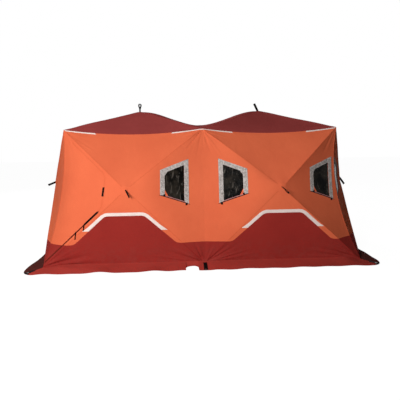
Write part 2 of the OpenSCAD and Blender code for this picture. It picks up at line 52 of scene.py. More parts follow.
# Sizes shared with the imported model
BAY, LEAN, EAVE_Z, PEAK_Z, HUB_Z, BULGE, HUB_OUT = 2.15, 0.23, 1.83, 2.135, 1.03, 0.29, 0.015
SKIN, PAD_R = 0.005, 0.042
EAVE_DIP, EAVE_IN, MID_OUT, VALLEY_RISE = 0.07, 0.06, 0.09, 0.08
CORNER_PULL = {-1: 0.08, 1: 0.12}
BAND_Z, SCALLOP_Z, SCALLOP_HALF, SCALLOP_RUN, SCALLOP_R, SCALLOP_OUT = 0.3, 0.685, 0.255, 1.1, 0.12, 0.025
TAPE_W, TAPE_LOW, EAVE_TAPE_L, EAVE_TAPE_W = 0.044, 0.485, 0.42, 0.028
WIN_NEAR, WIN_FAR, WIN_NEAR_H, WIN_FAR_H, WIN_RISE = 0.44, 0.82, 0.325, 0.6, 0.08
WIN_TAPE, WIN_SILL = 0.06, 0.016
FOLD_IN, NOSE, JAMB, NOSE_R, DOOR_GAP, ZIP_W = 0.245, 0.485, 0.04, 0.15, 0.005, 0.018
SKIRT_W, END_SKIRT_W, SKIRT_R, SKIRT_T, SKIRT_SEAT = 0.285, 0.19, 0.18, 0.003, 0.0006
NOTCH_X, NOTCH_HALF, NOTCH_DEEP, TAB_W = 0.174, 0.083, 0.17, 0.05
EYELET_R, STRAP_L, STRAP_W, CAP_R, CAP_H = 0.007, 0.135, 0.028, 0.03, 0.005
HALF_D = BAY / 2
HUB_LEAN = LEAN * HUB_Z / EAVE_Z
HUB_X = (BAY - HUB_LEAN) / 2 + HUB_OUT
HUB_Y = HALF_D - HUB_LEAN + BULGE
END_HUB_X = BAY - HUB_LEAN + BULGE
PEAK_X = (BAY - LEAN) / 2
DOOR_SHARE = 1 - FOLD_IN / (BAY - LEAN / 2 - HUB_X)

# Softness of the cloth where the bays meet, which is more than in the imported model, and at the door's fold
MEET_EASE, FOLD_EASE = 1.0, 0.14

# Fineness: points along an edge and rings from the hub, points round a corner, and the angle of a sharp edge
FINE, PLAIN = (80, 80), (52, 52)
ARC_STEPS = 10
SHARP = math.radians(38)

# Lift above the skin, thickness and ripple of what is sewn to it
LAYERS = {
    "seam": (0.0002, 0.0007), "film": (-0.0038, 0.002, 0.001), "frame": (0.0004, 0.0016, 0.0026),
    "gusset": (0.0004, 0.0008), "sill": (0.0005, 0.0015), "window_zip": (0.0004, 0.0022),
    "stub": (0.002, 0.0022), "hump": (0.0005, 0.0014, 0.0004), "eave": (0.0006, 0.0014),
    "zip": (0.0008, 0.0014), "corner_zip": (0.0006, 0.0014), "cover": (0.0005, 0.0008),
    "cover_end": (0.0006, 0.0008), "fly": (0.0026, 0.0018), "door_tab": (0.0024, 0.0025),
}

# Camera fitted to the corners and hubs in the photo
IMAGE, FOCAL, AXIS_V, SENSOR = 400, 375.24, 146.88, 36.0
CAM_AT, YAW, PITCH, ROLL = (-0.2881, -6.1208, 1.6314), 0.0479, -0.0115, -0.0127

# Materials: scale of a wave texture with a pitch of 1 m, pitches, stitches and shine
WAVE_SCALE, WEAVE, QUILT, COIL = 0.314, 0.0016, 0.09, 0.003
STITCH_W, STITCH_SHARE, COIL_HALF = 0.0011, 0.62, 0.0035
CLOTH_SHINE, STRAP_SHINE, ZIP_SHINE, FILM_SHINE = 0.003, 0.06, 0.1, 0.06
WHITE = (1.0, 1.0, 1.0, 1.0)


def srgb(code):
    """Linear colour of a hex code."""
    parts = [int(code[i:i + 2], 16) / 255 for i in (1, 3, 5)]
    return tuple(c / 12.92 if c <= 0.04045 else ((c + 0.055) / 1.055) ** 2.4 for c in parts) + (1.0,)


def give(tree, socket, value):
    """Link a socket to an output, or set it to a constant."""
    if isinstance(value, bpy.types.NodeSocket):
        tree.links.new(value, socket)
    else:
        socket.default_value = value


def add(tree, kind, ins=None, out=0, **props):
    """A shader node with its inputs set or linked; returns one output."""
    n = tree.nodes.new("ShaderNode" + kind)
    for k, v in props.items():
        setattr(n, k, v)
    for k, v in (ins or {}).items():
        give(tree, n.inputs[k], v)
    return n.outputs[out]


def maths(tree, op, a, b=0.0):
    return add(tree, "Math", {0: a, 1: b}, operation=op)


def ramp(tree, value, low, high, to_low=0.0, to_high=1.0):
    return add(tree, "MapRange", {"Value": value, "From Min": low, "From Max": high,
                                  "To Min": to_low, "To Max": to_high})


def tint(tree, share, a, b, mode="MIX"):
    return add(tree, "Mix", {0: share, 6: a, 7: b}, out=2, data_type="RGBA", blend_type=mode)


def noise(tree, at, scale, detail, rough=0.5, warp=0.0):
    return add(tree, "TexNoise", {"Vector": at, "Scale": scale, "Detail": detail, "Roughness": rough,
                                  "Distortion": warp})


def wave(tree, at, pitch, way="X", warp=0.0, detail=2.0):
    ins = {"Vector": at, "Scale": WAVE_SCALE / pitch, "Distortion": warp, "Detail": detail}
    return add(tree, "TexWave", ins, out=1, bands_direction=way)


def turned_by(tree, at, degrees):
    return add(tree, "Mapping", {"Vector": at, "Rotation": (0.0, 0.0, math.radians(degrees))})


def bump(tree, height, strength, depth, under=None):
    """A surface direction from a height, on top of another if one is given."""
    ins = {"Strength": strength, "Distance": depth, "Height": height}
    return add(tree, "Bump", ins if under is None else ins | {"Normal": under})


def split(tree, vector):
    """The three parts of a vector."""
    parts = tree.nodes.new("ShaderNodeSeparateXYZ")
    tree.links.new(vector, parts.inputs[0])
    return parts.outputs


def along_cloth(tree):
    """Coordinates along and across the cloth."""
    return add(tree, "UVMap")


def in_shelter(tree):
    """Coordinates in the shelter's frame."""
    return add(tree, "TexCoord", out=3)


def fresh_tree(owner):
    """The emptied shader tree of a material or of the surroundings."""
    owner.use_nodes = True
    owner.node_tree.nodes.clear()
    return owner.node_tree


def material(name):
    """A new material with its tree and its shader."""
    m = bpy.data.materials.new(name)
    tree = fresh_tree(m)
    shader = tree.nodes.new("ShaderNodeBsdfPrincipled")
    end = tree.nodes.new("ShaderNodeOutputMaterial")
    tree.links.new(shader.outputs[0], end.inputs[0])
    return m, tree, shader


def feed(tree, shader, **sockets):
    """Link or set the shader's sockets; underscores stand for blanks."""
    for k, v in sockets.items():
        give(tree, shader.inputs[k.replace("_", " ")], v)


def stitches(tree, uv, half, pitch=0.008, inset=0.005):
    """Share of a row of stitches along both edges of a strip, from its run and its offset."""
    run, off, _ = split(tree, uv)
    edge = maths(tree, "SUBTRACT", maths(tree, "ABSOLUTE", off), half - inset)
    row = maths(tree, "LESS_THAN", maths(tree, "ABSOLUTE", edge), STITCH_W)
    dash = maths(tree, "LESS_THAN", maths(tree, "FRACT", maths(tree, "DIVIDE", run, pitch)), STITCH_SHARE)
    return maths(tree, "MULTIPLY", row, dash)


def fabric(name, colour, deep, rough=0.6, dust=0.0, half=None, thread=None):
    """Coated woven cloth: weave, creases, uneven dye, dust near the ground, and stitches on strips."""
    m, tree, shader = material(name)
    uv, place = along_cloth(tree), in_shelter(tree)
    threads = maths(tree, "MAXIMUM", *(wave(tree, uv, WEAVE, way, 0.4, 1.0) for way in "XY"))
    broad = noise(tree, place, 2.2, 3.0)
    fine = noise(tree, place, 14.0, 6.0, 0.62, 0.5)
    creases = noise(tree, place, 5.5, 5.0, 0.55, 1.2)
    tone = tint(tree, ramp(tree, broad, 0.3, 0.75, 0.0, 0.55), srgb(colour), srgb(deep))
    tone = tint(tree, ramp(tree, fine, 0.35, 0.8, 0.0, 0.2), tone, srgb(deep))
    tone = tint(tree, ramp(tree, threads, 0.0, 1.0, 0.1, 0.0), tone, (0.02, 0.01, 0.01, 1.0), "MULTIPLY")
    if dust:
        low = ramp(tree, split(tree, place)[2], 0.0, 0.4, dust, 0.0)
        spots = ramp(tree, fine, 0.4, 0.7, 0.1, 1.0)
        tone = tint(tree, maths(tree, "MULTIPLY", low, spots), tone, srgb("#8A6A60"))
    height = threads
    if half:
        rows = stitches(tree, uv, half)
        tone = tint(tree, rows, tone, srgb(thread))
        height = maths(tree, "ADD", threads, maths(tree, "MULTIPLY", rows, 2.0))
    feed(tree, shader, Base_Color=tone, Roughness=ramp(tree, fine, 0.3, 0.8, rough - 0.08, rough + 0.1),
         Normal=bump(tree, height, 0.25, 0.0004, bump(tree, creases, 0.3, 0.012)), Sheen_Weight=0.02,
         Sheen_Roughness=0.4, Sheen_Tint=srgb(colour), Specular_IOR_Level=CLOTH_SHINE)
    return m


def lining():
    """Dark quilted inner lining."""
    m, tree, shader = material("quilted_lining")
    uv = along_cloth(tree)
    slant = turned_by(tree, uv, 45)
    rows = maths(tree, "MULTIPLY", *(wave(tree, slant, QUILT, way, 0.2) for way in "XY"))
    quilt = maths(tree, "POWER", rows, 0.35)
    speck = noise(tree, uv, 180.0, 3.0)
    tone = tint(tree, ramp(tree, quilt, 0.0, 0.6), srgb("#0D0C0C"), srgb("#1C1A1A"))
    tone = tint(tree, ramp(tree, speck, 0.4, 0.7, 0.0, 0.4), tone, srgb("#2A2726"))
    feed(tree, shader, Base_Color=tone, Roughness=ramp(tree, speck, 0.3, 0.7, 0.6, 0.85),
         Normal=bump(tree, quilt, 0.6, 0.008))
    return m


def woven_tape(name, colour, deep, half, rough, thread, ribs, crush=0.5):
    """Ribbed tape with stitched edges, handling creases, and painted shade darkening it along the creases.
    """
    m, tree, shader = material(name)
    uv, place = along_cloth(tree), in_shelter(tree)
    rib = wave(tree, turned_by(tree, uv, 35), ribs, "X", 1.0)
    crease_and_shade = noise(tree, place, 32.0, 5.0, 0.6, 1.5)
    grime = noise(tree, place, 9.0, 6.0)
    rows = stitches(tree, uv, half)
    # Painted shade: the tape is darkened towards its deep colour along the crease noise.
    tone = tint(tree, ramp(tree, crease_and_shade, 0.35, 0.7, 0.0, 0.4 + 0.6 * crush), srgb(colour), srgb(deep))
    tone = tint(tree, ramp(tree, rib, 0.0, 1.0, 0.18, 0.0), tone, srgb(deep))
    tone = tint(tree, ramp(tree, grime, 0.5, 0.8, 0.0, 0.25), tone, srgb("#6E625C"))
    tone = tint(tree, rows, tone, srgb(thread))
    ridges = maths(tree, "SUBTRACT", rib, rows)
    feed(tree, shader, Base_Color=tone, Roughness=ramp(tree, grime, 0.3, 0.8, rough, rough + 0.2),
         Normal=bump(tree, ridges, 0.3, 0.0006, bump(tree, crease_and_shade, crush, 0.008)),
         Specular_IOR_Level=CLOTH_SHINE)
    return m


def webbing():
    """Woven black strap: fine cross ribs, fuzz and stitched edges."""
    m, tree, shader = material("black_webbing")
    uv, place = along_cloth(tree), in_shelter(tree)
    knit = maths(tree, "MULTIPLY", wave(tree, uv, 0.0022, "X", 0.6), wave(tree, uv, 0.0035, "Y", 0.6))
    fuzz = noise(tree, place, 60.0, 4.0)
    tone = tint(tree, knit, srgb("#080606"), srgb("#161212"))
    tone = tint(tree, ramp(tree, fuzz, 0.5, 0.8, 0.0, 0.3), tone, srgb("#2A2423"))
    tone = tint(tree, stitches(tree, uv, STRAP_W / 2, pitch=0.005, inset=0.003), tone, srgb("#2C2625"))
    feed(tree, shader, Base_Color=tone, Roughness=ramp(tree, fuzz, 0.3, 0.7, 0.65, 0.9),
         Normal=bump(tree, knit, 0.6, 0.0007), Specular_IOR_Level=STRAP_SHINE)
    return m


def film():
    """Smoked clear film with crumples, and painted reflections on it: a grey haze, pale glinting streaks and
    specks.
    """
    m, tree, shader = material("smoked_film")
    place = in_shelter(tree)
    drawn = add(tree, "Mapping", {"Vector": place, "Rotation": (0.5, 0.4, 0.3), "Scale": (26.0, 26.0, 6.0)})
    ripple = noise(tree, place, 11.0, 4.0, warp=1.2)
    reflection_haze = noise(tree, place, 5.0, 4.0, 0.6)
    glint_streak = noise(tree, drawn, 1.0, 2.0, warp=0.6)
    speck = noise(tree, place, 60.0, 2.0, 0.6)
    # Painted reflection: the grey haze, pale streaks and pale specks stand in for light glinting off the
    # crumpled film.
    tone = tint(tree, ramp(tree, reflection_haze, 0.42, 0.7, 0.0, 0.6), srgb("#080706"), srgb("#3E372F"))
    tone = tint(tree, ramp(tree, glint_streak, 0.6, 0.72, 0.0, 0.3), tone, srgb("#8E867C"))
    tone = tint(tree, ramp(tree, speck, 0.71, 0.74, 0.0, 0.4), tone, srgb("#B4AEA8"))
    feed(tree, shader, Base_Color=tone, Roughness=ramp(tree, reflection_haze, 0.4, 0.8, 0.16, 0.35),
         Normal=bump(tree, ripple, 0.5, 0.012), Transmission_Weight=0.02, IOR=1.3,
         Specular_IOR_Level=FILM_SHINE)
    return m


def moulded(name, colour, worn, rough, metal=0.0):
    """Moulded plastic or pressed metal with fine grain, scuffs and worn edges."""
    m, tree, shader = material(name)
    place = in_shelter(tree)
    fine = noise(tree, place, 260.0, 4.0)
    scuff = noise(tree, place, 30.0, 8.0, 0.7)
    edge = add(tree, "NewGeometry", out=7)
    wear = maths(tree, "MULTIPLY", ramp(tree, edge, 0.52, 0.62), ramp(tree, scuff, 0.4, 0.6))
    tone = tint(tree, ramp(tree, scuff, 0.45, 0.75, 0.0, 0.5), srgb(colour), srgb(worn))
    tone = tint(tree, wear, tone, srgb(worn))
    feed(tree, shader, Base_Color=tone, Roughness=ramp(tree, scuff, 0.3, 0.7, rough, rough + 0.2),
         Normal=bump(tree, fine, 0.25, 0.0005), Metallic=metal)
    return m


def fibreglass():
    """Dark pultruded pole with long faint strands."""
    m, tree, shader = material("fibreglass_pole")
    place = in_shelter(tree)
    strand = noise(tree, place, 120.0, 6.0, warp=2.0)
    scuff = noise(tree, place, 16.0, 8.0)
    tone = tint(tree, ramp(tree, strand, 0.4, 0.7), srgb("#211F1F"), srgb("#393533"))
    feed(tree, shader, Base_Color=tone, Roughness=ramp(tree, scuff, 0.3, 0.7, 0.25, 0.5),
         Normal=bump(tree, strand, 0.2, 0.0004))
    return m


def zip_teeth():
    """Zip tape with a coil down its middle."""
    m, tree, shader = material("zip_coil")
    uv = along_cloth(tree)
    middle = maths(tree, "LESS_THAN", maths(tree, "ABSOLUTE", split(tree, uv)[1]), COIL_HALF)
    teeth = maths(tree, "MULTIPLY", middle, wave(tree, uv, COIL))
    knit = noise(tree, uv, 400.0, 3.0)
    tone = tint(tree, ramp(tree, knit, 0.3, 0.7), srgb("#5A1A10"), srgb("#6E2416"))
    tone = tint(tree, teeth, tone, srgb("#2A0E0A"))
    feed(tree, shader, Base_Color=tone, Roughness=ramp(tree, teeth, 0.0, 1.0, 0.75, 0.35),
         Normal=bump(tree, maths(tree, "ADD", teeth, knit), 0.8, 0.001), Specular_IOR_Level=ZIP_SHINE)
    return m


SEAM_W = 0.016
MATS = {
    "wall": fabric("wall_fabric", "#E46F4A", "#D66241", dust=0.1),
    "wall_seam": fabric("wall_seam", "#E26D48", "#D4603F", half=SEAM_W / 2, thread="#C25637"),
    "base": fabric("base_fabric", "#9A302A", "#882723", dust=0.12),
    "base_seam": fabric("base_seam", "#9A302A", "#862622", half=SEAM_W / 2, thread="#741F1C"),
    "roof": fabric("roof_fabric", "#A34643", "#913B39"),
    "roof_seam": fabric("roof_seam", "#9E4340", "#8C3836", half=SEAM_W / 2, thread="#7A302F"),
    # Painted light: the skirts are the base panels' dark red made lighter, to make up for the little light
    # that falls on them as they lie flat.
    "skirt": fabric("skirt_fabric", "#C4483F", "#B23E36", rough=0.65, dust=0.1),
    "end_skirt": fabric("end_skirt_fabric", "#5A2A26", "#48201D", rough=0.7, dust=0.1),
    "lining": lining(),
    # The window tape's deep colour is the painted shade in its creases, at full strength.
    "frame_tape": woven_tape("window_tape", "#CFC7C2", "#837A75", WIN_TAPE / 2, 0.45, "#E2DBD6", 0.008, 1.0),
    "sill_tape": woven_tape("sill_tape", "#C98F8C", "#A06764", 0.006, 0.5, "#7C4A48", 0.004),
    "reflector": woven_tape("reflective_tape", "#F0E0D9", "#E2CEC6", TAPE_W / 2, 0.4, "#CDB6AE", 0.006, 0.3),
    "webbing": webbing(),
    "film": film(),
    "fitting": moulded("moulded_nylon", "#232122", "#3D393A", 0.45),
    "grommet": moulded("grommet_metal", "#8C8680", "#C8C2BB", 0.25, metal=0.9),
    "pole": fibreglass(),
    "zip": zip_teeth(),
}


# Meshes
def unit(v):
    v = np.asarray(v, float)
    return v / np.linalg.norm(v, axis=-1, keepdims=True)


def smooth_step(x):
    x = np.clip(x, 0.0, 1.0)
    return x * x * (3 - 2 * x)


def run_along(line):
    """Distance along a line at each of its points."""
    return np.concatenate([[0], np.cumsum(np.linalg.norm(np.diff(line, axis=0), axis=1))])


def resample(line, count):
    """Even points along an open line."""
    line = np.asarray(line, float)
    run = run_along(line)
    want = np.linspace(0, run[-1], count)
    return np.stack([np.interp(want, run, line[:, k]) for k in range(line.shape[1])], -1)


def straight(a, b, count):
    """Even points from one point to another."""
    t = np.linspace(0, 1, count)[:, None]
    return a * (1 - t) + b * t


def between(a, b, count):
    """Points between two lines, edge to edge."""
    t = np.linspace(0, 1, count)[None, :, None]
    return a[:, None] * (1 - t) + b[:, None] * t


@contextmanager
def edited(mesh):
    """A mesh opened for editing, and written back."""
    bm = bmesh.new()
    bm.from_mesh(mesh)
    yield bm
    bm.to_mesh(mesh)
    bm.free()


def values(items, key, width=1, kind=float):
    """One row of numbers for each item of a mesh."""
    data = np.empty(width * len(items), kind)
    items.foreach_get(key, data)
    return data.reshape(-1, width) if width > 1 else data


def set_flat(mesh, uv):
    """Flat coordinates of a mesh, one pair per vertex."""
    layer = mesh.uv_layers.get("UVMap") or mesh.uv_layers.new(name="UVMap")
    corners = values(mesh.loops, "vertex_index", kind=int)
    layer.data.foreach_set("uv", np.asarray(uv, np.float32)[corners].ravel())


def new_object(name, verts, faces, uv=None):
    """A mesh object with outward faces."""
    mesh = bpy.data.meshes.new(name)
    mesh.from_pydata(np.asarray(verts).tolist(), [], [list(map(int, f)) for f in faces])
    if uv is not None:
        set_flat(mesh, uv)
    with edited(mesh) as bm:
        bmesh.ops.recalc_face_normals(bm, faces=bm.faces)
    obj = bpy.data.objects.new(name, mesh)
    scene.collection.objects.link(obj)
    return obj


def soften(obj):
    """Smooth shading with the sharp edges kept."""
    with edited(obj.data) as bm:
        for f in bm.faces:
            f.smooth = True
        for e in bm.edges:
            e.smooth = len(e.link_faces) != 2 or e.calc_face_angle(0.0) < SHARP
    return obj


def joined(name, parts):
    """One object from several (verts, faces, uv) parts."""
    verts, faces, uvs, n = [], [], [], 0
    for v, f, uv in parts:
        verts.append(np.asarray(v, float))
        uvs.append(np.asarray(uv, float))
        faces += [[i + n for i in face] for face in f]
        n += len(v)
    return soften(new_object(name, np.concatenate(verts), faces, np.concatenate(uvs)))


def sheet_part(top, bottom, u, v):
    """A closed thin sheet between two grids of points, with its run and width as coordinates."""
    m, n = top.shape[:2]
    at = np.arange(m * n).reshape(m, n)
    low = at + m * n
    faces = []
    for i in range(m - 1):
        for j in range(n - 1):
            faces.append((at[i, j], at[i + 1, j], at[i + 1, j + 1], at[i, j + 1]))
            faces.append((low[i, j], low[i, j + 1], low[i + 1, j + 1], low[i + 1, j]))
    rim = [*at[:, 0], *at[-1, 1:], *at[-2::-1, -1], *at[0, -2:0:-1]]
    for a, b in zip(rim, rim[1:] + rim[:1]):
        faces.append((a, b, b + m * n, a + m * n))
    uv = np.stack([u, v], -1).reshape(-1, 2)
    return np.concatenate([top.reshape(-1, 3), bottom.reshape(-1, 3)]), faces, np.concatenate([uv, uv])


def ribbon(path, side, width, thick):
    """A flat strap along a path; side is the direction of its width at each point."""
    path, side = np.asarray(path, float), unit(side)
    face_up = unit(np.cross(np.gradient(path, axis=0), side))
    across = np.array([-0.5, -0.42, 0.0, 0.42, 0.5]) * width
    edge = np.array([0.35, 0.5, 0.5, 0.5, 0.35]) * thick
    mid = path[:, None] + across[None, :, None] * side[:, None]
    rise = edge[None, :, None] * face_up[:, None]
    u = np.repeat(run_along(path)[:, None], len(across), 1)
    return sheet_part(mid + rise, mid - rise, u, np.repeat(across[None], len(path), 0))


def rings_of(first, second, sides):
    """Faces between two rings of points."""
    a, b = first * sides, second * sides
    return [(a + k, a + (k + 1) % sides, b + (k + 1) % sides, b + k) for k in range(sides)]


def lathe(profile, at, out, steps=40):
    """A closed turned part: (radius, height) pairs about a direction."""
    out = unit(out)
    side = unit(np.cross(out, (0.3, 0.5, 0.81)))
    up = np.cross(out, side)
    turn = np.linspace(0, 2 * math.pi, steps, endpoint=False)
    spoke = np.cos(turn)[:, None] * side + np.sin(turn)[:, None] * up
    verts = [at + r * s + h * out for r, h in profile for s in spoke]
    m = len(profile)
    faces = [f for i in range(m) for f in rings_of(i, (i + 1) % m, steps)]
    uv = [(0.1 * k / steps, 0.01 * i) for i in range(m) for k in range(steps)]
    return np.array(verts), faces, np.array(uv)


def tube(path, radius, sides=8):
    """A round cord along a path."""
    path = np.asarray(path, float)
    run = unit(np.gradient(path, axis=0))
    side = unit(np.cross(run, (0.31, 0.42, 0.85)))
    up = np.cross(run, side)
    turn = np.linspace(0, 2 * math.pi, sides, endpoint=False)
    ring = np.cos(turn)[None, :, None] * side[:, None] + np.sin(turn)[None, :, None] * up[:, None]
    n = len(path)
    faces = [f for i in range(n - 1) for f in rings_of(i, i + 1, sides)]
    faces += [tuple(range(sides)), tuple(range(n * sides - 1, (n - 1) * sides - 1, -1))]
    uv = np.stack([np.repeat(run_along(path), sides), np.tile(radius * (turn - math.pi), n)], -1)
    return (path[:, None] + radius * ring).reshape(-1, 3), faces, uv


# Surfaces of the skins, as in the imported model
def base_pt(sx, sy, d):
    return np.array([sx * (BAY - d), sy * (HALF_D - d), 0.0])


def top_pt(sx, sy, d):
    return np.array([sx * (BAY - LEAN - d), sy * (HALF_D - LEAN - d), EAVE_Z - d])


def long_hub(d):
    return np.array([-HUB_X, d - HUB_Y, HUB_Z])


def end_hub(d):
    return np.array([d - END_HUB_X, 0.0, HUB_Z])


def roof_hub(d):
    return np.array([-PEAK_X, 0.0, PEAK_Z - d])


def edge_pts(a, b, sag, t):
    return a + (b - a) * t[:, None] + (4 * t * (1 - t))[:, None] * np.array(sag)


# Edges of a face: start, end, sag and whether it meets the other bay
def long_edges(d, pull):
    return [(top_pt(-1, -1, d), top_pt(0, -1, d), (0, EAVE_IN, -EAVE_DIP), 0),
            (top_pt(0, -1, d), base_pt(0, -1, d), (0, -MID_OUT, 0), 1),
            (base_pt(0, -1, d), base_pt(-1, -1, d), (0, 0, 0), 0),
            (base_pt(-1, -1, d), top_pt(-1, -1, d), (pull, pull, 0), 0)]


def end_edges(d, pull):
    return [(top_pt(-1, 1, d), top_pt(-1, -1, d), (EAVE_IN, 0, -EAVE_DIP), 0),
            (top_pt(-1, -1, d), base_pt(-1, -1, d), (pull, pull, 0), 0),
            (base_pt(-1, -1, d), base_pt(-1, 1, d), (0, 0, 0), 0),
            (base_pt(-1, 1, d), top_pt(-1, 1, d), (pull, -pull, 0), 0)]


def roof_edges(d, _):
    return [(top_pt(-1, -1, d), top_pt(-1, 1, d), (EAVE_IN, 0, -EAVE_DIP), 0),
            (top_pt(-1, 1, d), top_pt(0, 1, d), (0, -EAVE_IN, -EAVE_DIP), 0),
            (top_pt(0, 1, d), top_pt(0, -1, d), (0, 0, VALLEY_RISE), 1),
            (top_pt(0, -1, d), top_pt(-1, -1, d), (0, EAVE_IN, -EAVE_DIP), 0)]


# Hub, edges, axis and outward side of each kind of face
KINDS = {"long": (long_hub, long_edges, 1, -1), "end": (end_hub, end_edges, 0, -1),
         "roof": (roof_hub, roof_edges, 2, 1)}


def pad_pts(hub, axis, rim):
    """Points on the flat of a hub towards points of its edge."""
    flat = rim - hub
    flat[..., axis] = 0
    return hub + PAD_R * unit(flat)


def ray_run(hub, axis, e, s):
    """Points from the flat of a hub to a point of its edge."""
    pad = pad_pts(hub, axis, e)
    return pad + np.asarray(s)[:, None] * (e - pad)


def fold_ends(hub, d):
    """Lower and upper end of the door's fold."""
    return [ray_run(hub, 1, corner(-1, -1, d), [DOOR_SHARE])[0] for corner in (base_pt, top_pt)]


def face_pts(kind, d, pull, count, has_door):
    """One face of a skin: the hub point and rings out to its edges, and each ring's share of the way."""
    hub_at, edges_at, axis, _ = KINDS[kind]
    hub, (steps, rings) = hub_at(d), count
    i = np.arange(steps) / steps
    t = 0.5 * i + 0.25 * (1 - np.cos(math.pi * i))
    edges = edges_at(d, pull)
    rim = np.concatenate([edge_pts(a, b, sag, t) for a, b, sag, _ in edges])
    soft = np.concatenate([w * 4 * t * (1 - t) for _, _, _, w in edges])
    pad = pad_pts(hub, axis, rim)
    s = np.linspace(0, 1, rings)
    pts = pad[None] + s[:, None, None] * (rim - pad)[None]
    ease = s[:, None] + MEET_EASE * soft[None] * (s * s * (3 - 2 * s) - s)[:, None]
    pts[:, :, axis] = pad[:, axis] + ease * (rim - pad)[:, axis]
    if has_door:
        low, high = fold_ends(hub, d)
        run = s[:, None] - DOOR_SHARE
        q = np.clip(run / FOLD_EASE / 2 + 0.5, 0, 1)
        for k in range(1, steps):
            p, e, c = pad[3 * steps + k], rim[3 * steps + k], low + (high - low) * t[k]
            near, far = (c - p) / DOOR_SHARE, (e - c) / (1 - DOOR_SHARE)
            bent = c - (1 - q) ** 2 * FOLD_EASE * near + q ** 2 * FOLD_EASE * far
            flat = c + np.where(run < 0, run * near, run * far)
            pts[:, 3 * steps + k] = np.where(np.abs(run) < FOLD_EASE, bent, flat)
    return np.concatenate([hub[None], pts.reshape(-1, 3)]), np.concatenate([[0], np.repeat(s, 4 * steps)])


CREASE_RISE, CREASE_FALL, CREASE_START, CREASE_SPREAD, CREASE_TROUGH = 0.12, 0.7, 0.5, 0.8, 1.1


def folds(x, z, lines):
    """Height of creases given as start, end, half width and height, seen square on."""
    total = np.zeros_like(x)
    for x0, z0, x1, z1, wide, high in lines:
        run = math.hypot(x1 - x0, z1 - z0)
        ux, uz = (x1 - x0) / run, (z1 - z0) / run
        t = ((x - x0) * ux + (z - z0) * uz) / run
        q = ((x - x0) * uz - (z - z0) * ux) / (wide * (CREASE_START + CREASE_SPREAD * np.clip(t, 0, 1)))
        ends = smooth_step(t / CREASE_RISE) * smooth_step((1 - t) / CREASE_FALL)
        total += high * ends * (1 - CREASE_TROUGH * q * q) * np.exp(-q * q)
    return total


def billow(a, b, seed, size=0.004):
    """Slow unevenness of stretched cloth."""
    rng = np.random.default_rng(seed)
    total = np.zeros_like(a)
    for _ in range(7):
        turn, length, phase = rng.uniform(0, math.pi), rng.uniform(0.35, 1.1), rng.uniform(0, 2 * math.pi)
        total += np.sin(2 * math.pi * (a * math.cos(turn) + b * math.sin(turn)) / length + phase) * length
    return size * total / 3.0


def fan(x0, z0, angles, lengths, wide, high, seed):
    """Creases that spread from a corner."""
    rng = np.random.default_rng(seed)
    lines = []
    for a, r in zip(angles, lengths):
        a = math.radians(a + rng.uniform(-3, 3))
        lines.append((x0, z0, x0 + r * math.cos(a), z0 + r * math.sin(a),
                      wide * rng.uniform(0.7, 1.3), high * rng.uniform(0.6, 1.2) * rng.choice([1, 1, -1])))
    return lines


CREASE_IN = 0.02


def wall_folds(seed):
    """Creases of a long wall: from its base corner, both ends of its middle edge and its eave corner."""
    half, mid, eave = BAY - CREASE_IN, -0.005, EAVE_Z - CREASE_IN
    return (fan(-half, CREASE_IN, [4, 9, 15, 22, 31], [1.1, 0.9, 0.8, 0.7, 0.6], 0.025, 0.012, seed)
            + fan(mid, 0.01, [178, 171, 163, 152, 140, 118, 104], [0.9, 0.8, 0.7, 0.6, 0.5, 0.35, 0.3],
                  0.02, 0.011, seed + 1)
            + fan(mid, eave, [200, 215, 233, 244, 255, 264], [0.4, 0.45, 0.5, 0.42, 0.4, 0.36],
                  0.014, 0.008, seed + 2)
            + fan(-half + LEAN, eave, [-20, -33, -57, -68], [0.5, 0.6, 0.6, 0.5], 0.02, 0.0028, seed + 3))


def end_folds(index):
    """Creases of an end wall, from its four corners."""
    reach, low, high = HALF_D - CREASE_IN, [0.8, 0.7, 0.6, 0.5], [0.45, 0.6, 0.5]
    return (fan(-reach, CREASE_IN, [5, 13, 22, 33], low, 0.026, 0.007, 71 + index)
            + fan(reach, CREASE_IN, [175, 167, 158, 147], low, 0.026, 0.007, 81 + index)
            + fan(-reach + LEAN, EAVE_Z, [-25, -48, -66], high, 0.02, 0.004, 91 + index)
            + fan(reach - LEAN, EAVE_Z, [-155, -132, -114], high, 0.02, 0.004, 97 + index))


def roof_folds(index):
    """Creases of a roof bay, from its four corners."""
    far, deep = BAY - LEAN - CREASE_IN, HALF_D - LEAN - CREASE_IN
    return (fan(-far, -deep, [20, 55], [0.6, 0.5], 0.025, 0.005, 101 + index)
            + fan(-far, deep, [-20, -55], [0.6, 0.5], 0.025, 0.005, 111 + index)
            + fan(-0.01, -deep, [110, 128, 152, 166], [0.5] * 4, 0.022, 0.005, 121 + index)
            + fan(-0.01, deep, [-110, -128, -152, -166], [0.5] * 4, 0.022, 0.005, 131 + index))


FRONT_LEFT_EXTRA = [(-1.66, 1.64, -1.42, 1.49, 0.014, 0.004), (-1.72, 1.5, -1.53, 1.28, 0.014, 0.0045),
                    (-1.53, 1.46, -1.34, 1.29, 0.012, 0.004), (-1.87, 1.5, -1.78, 1.48, 0.008, 0.003)]
RAY_FROM, STEP_IN, THIN_EDGE = 4.0, 0.002, 0.6
RIM_FADE, HUB_KEEP, HUB_FADE = 0.06, 0.02, 0.12


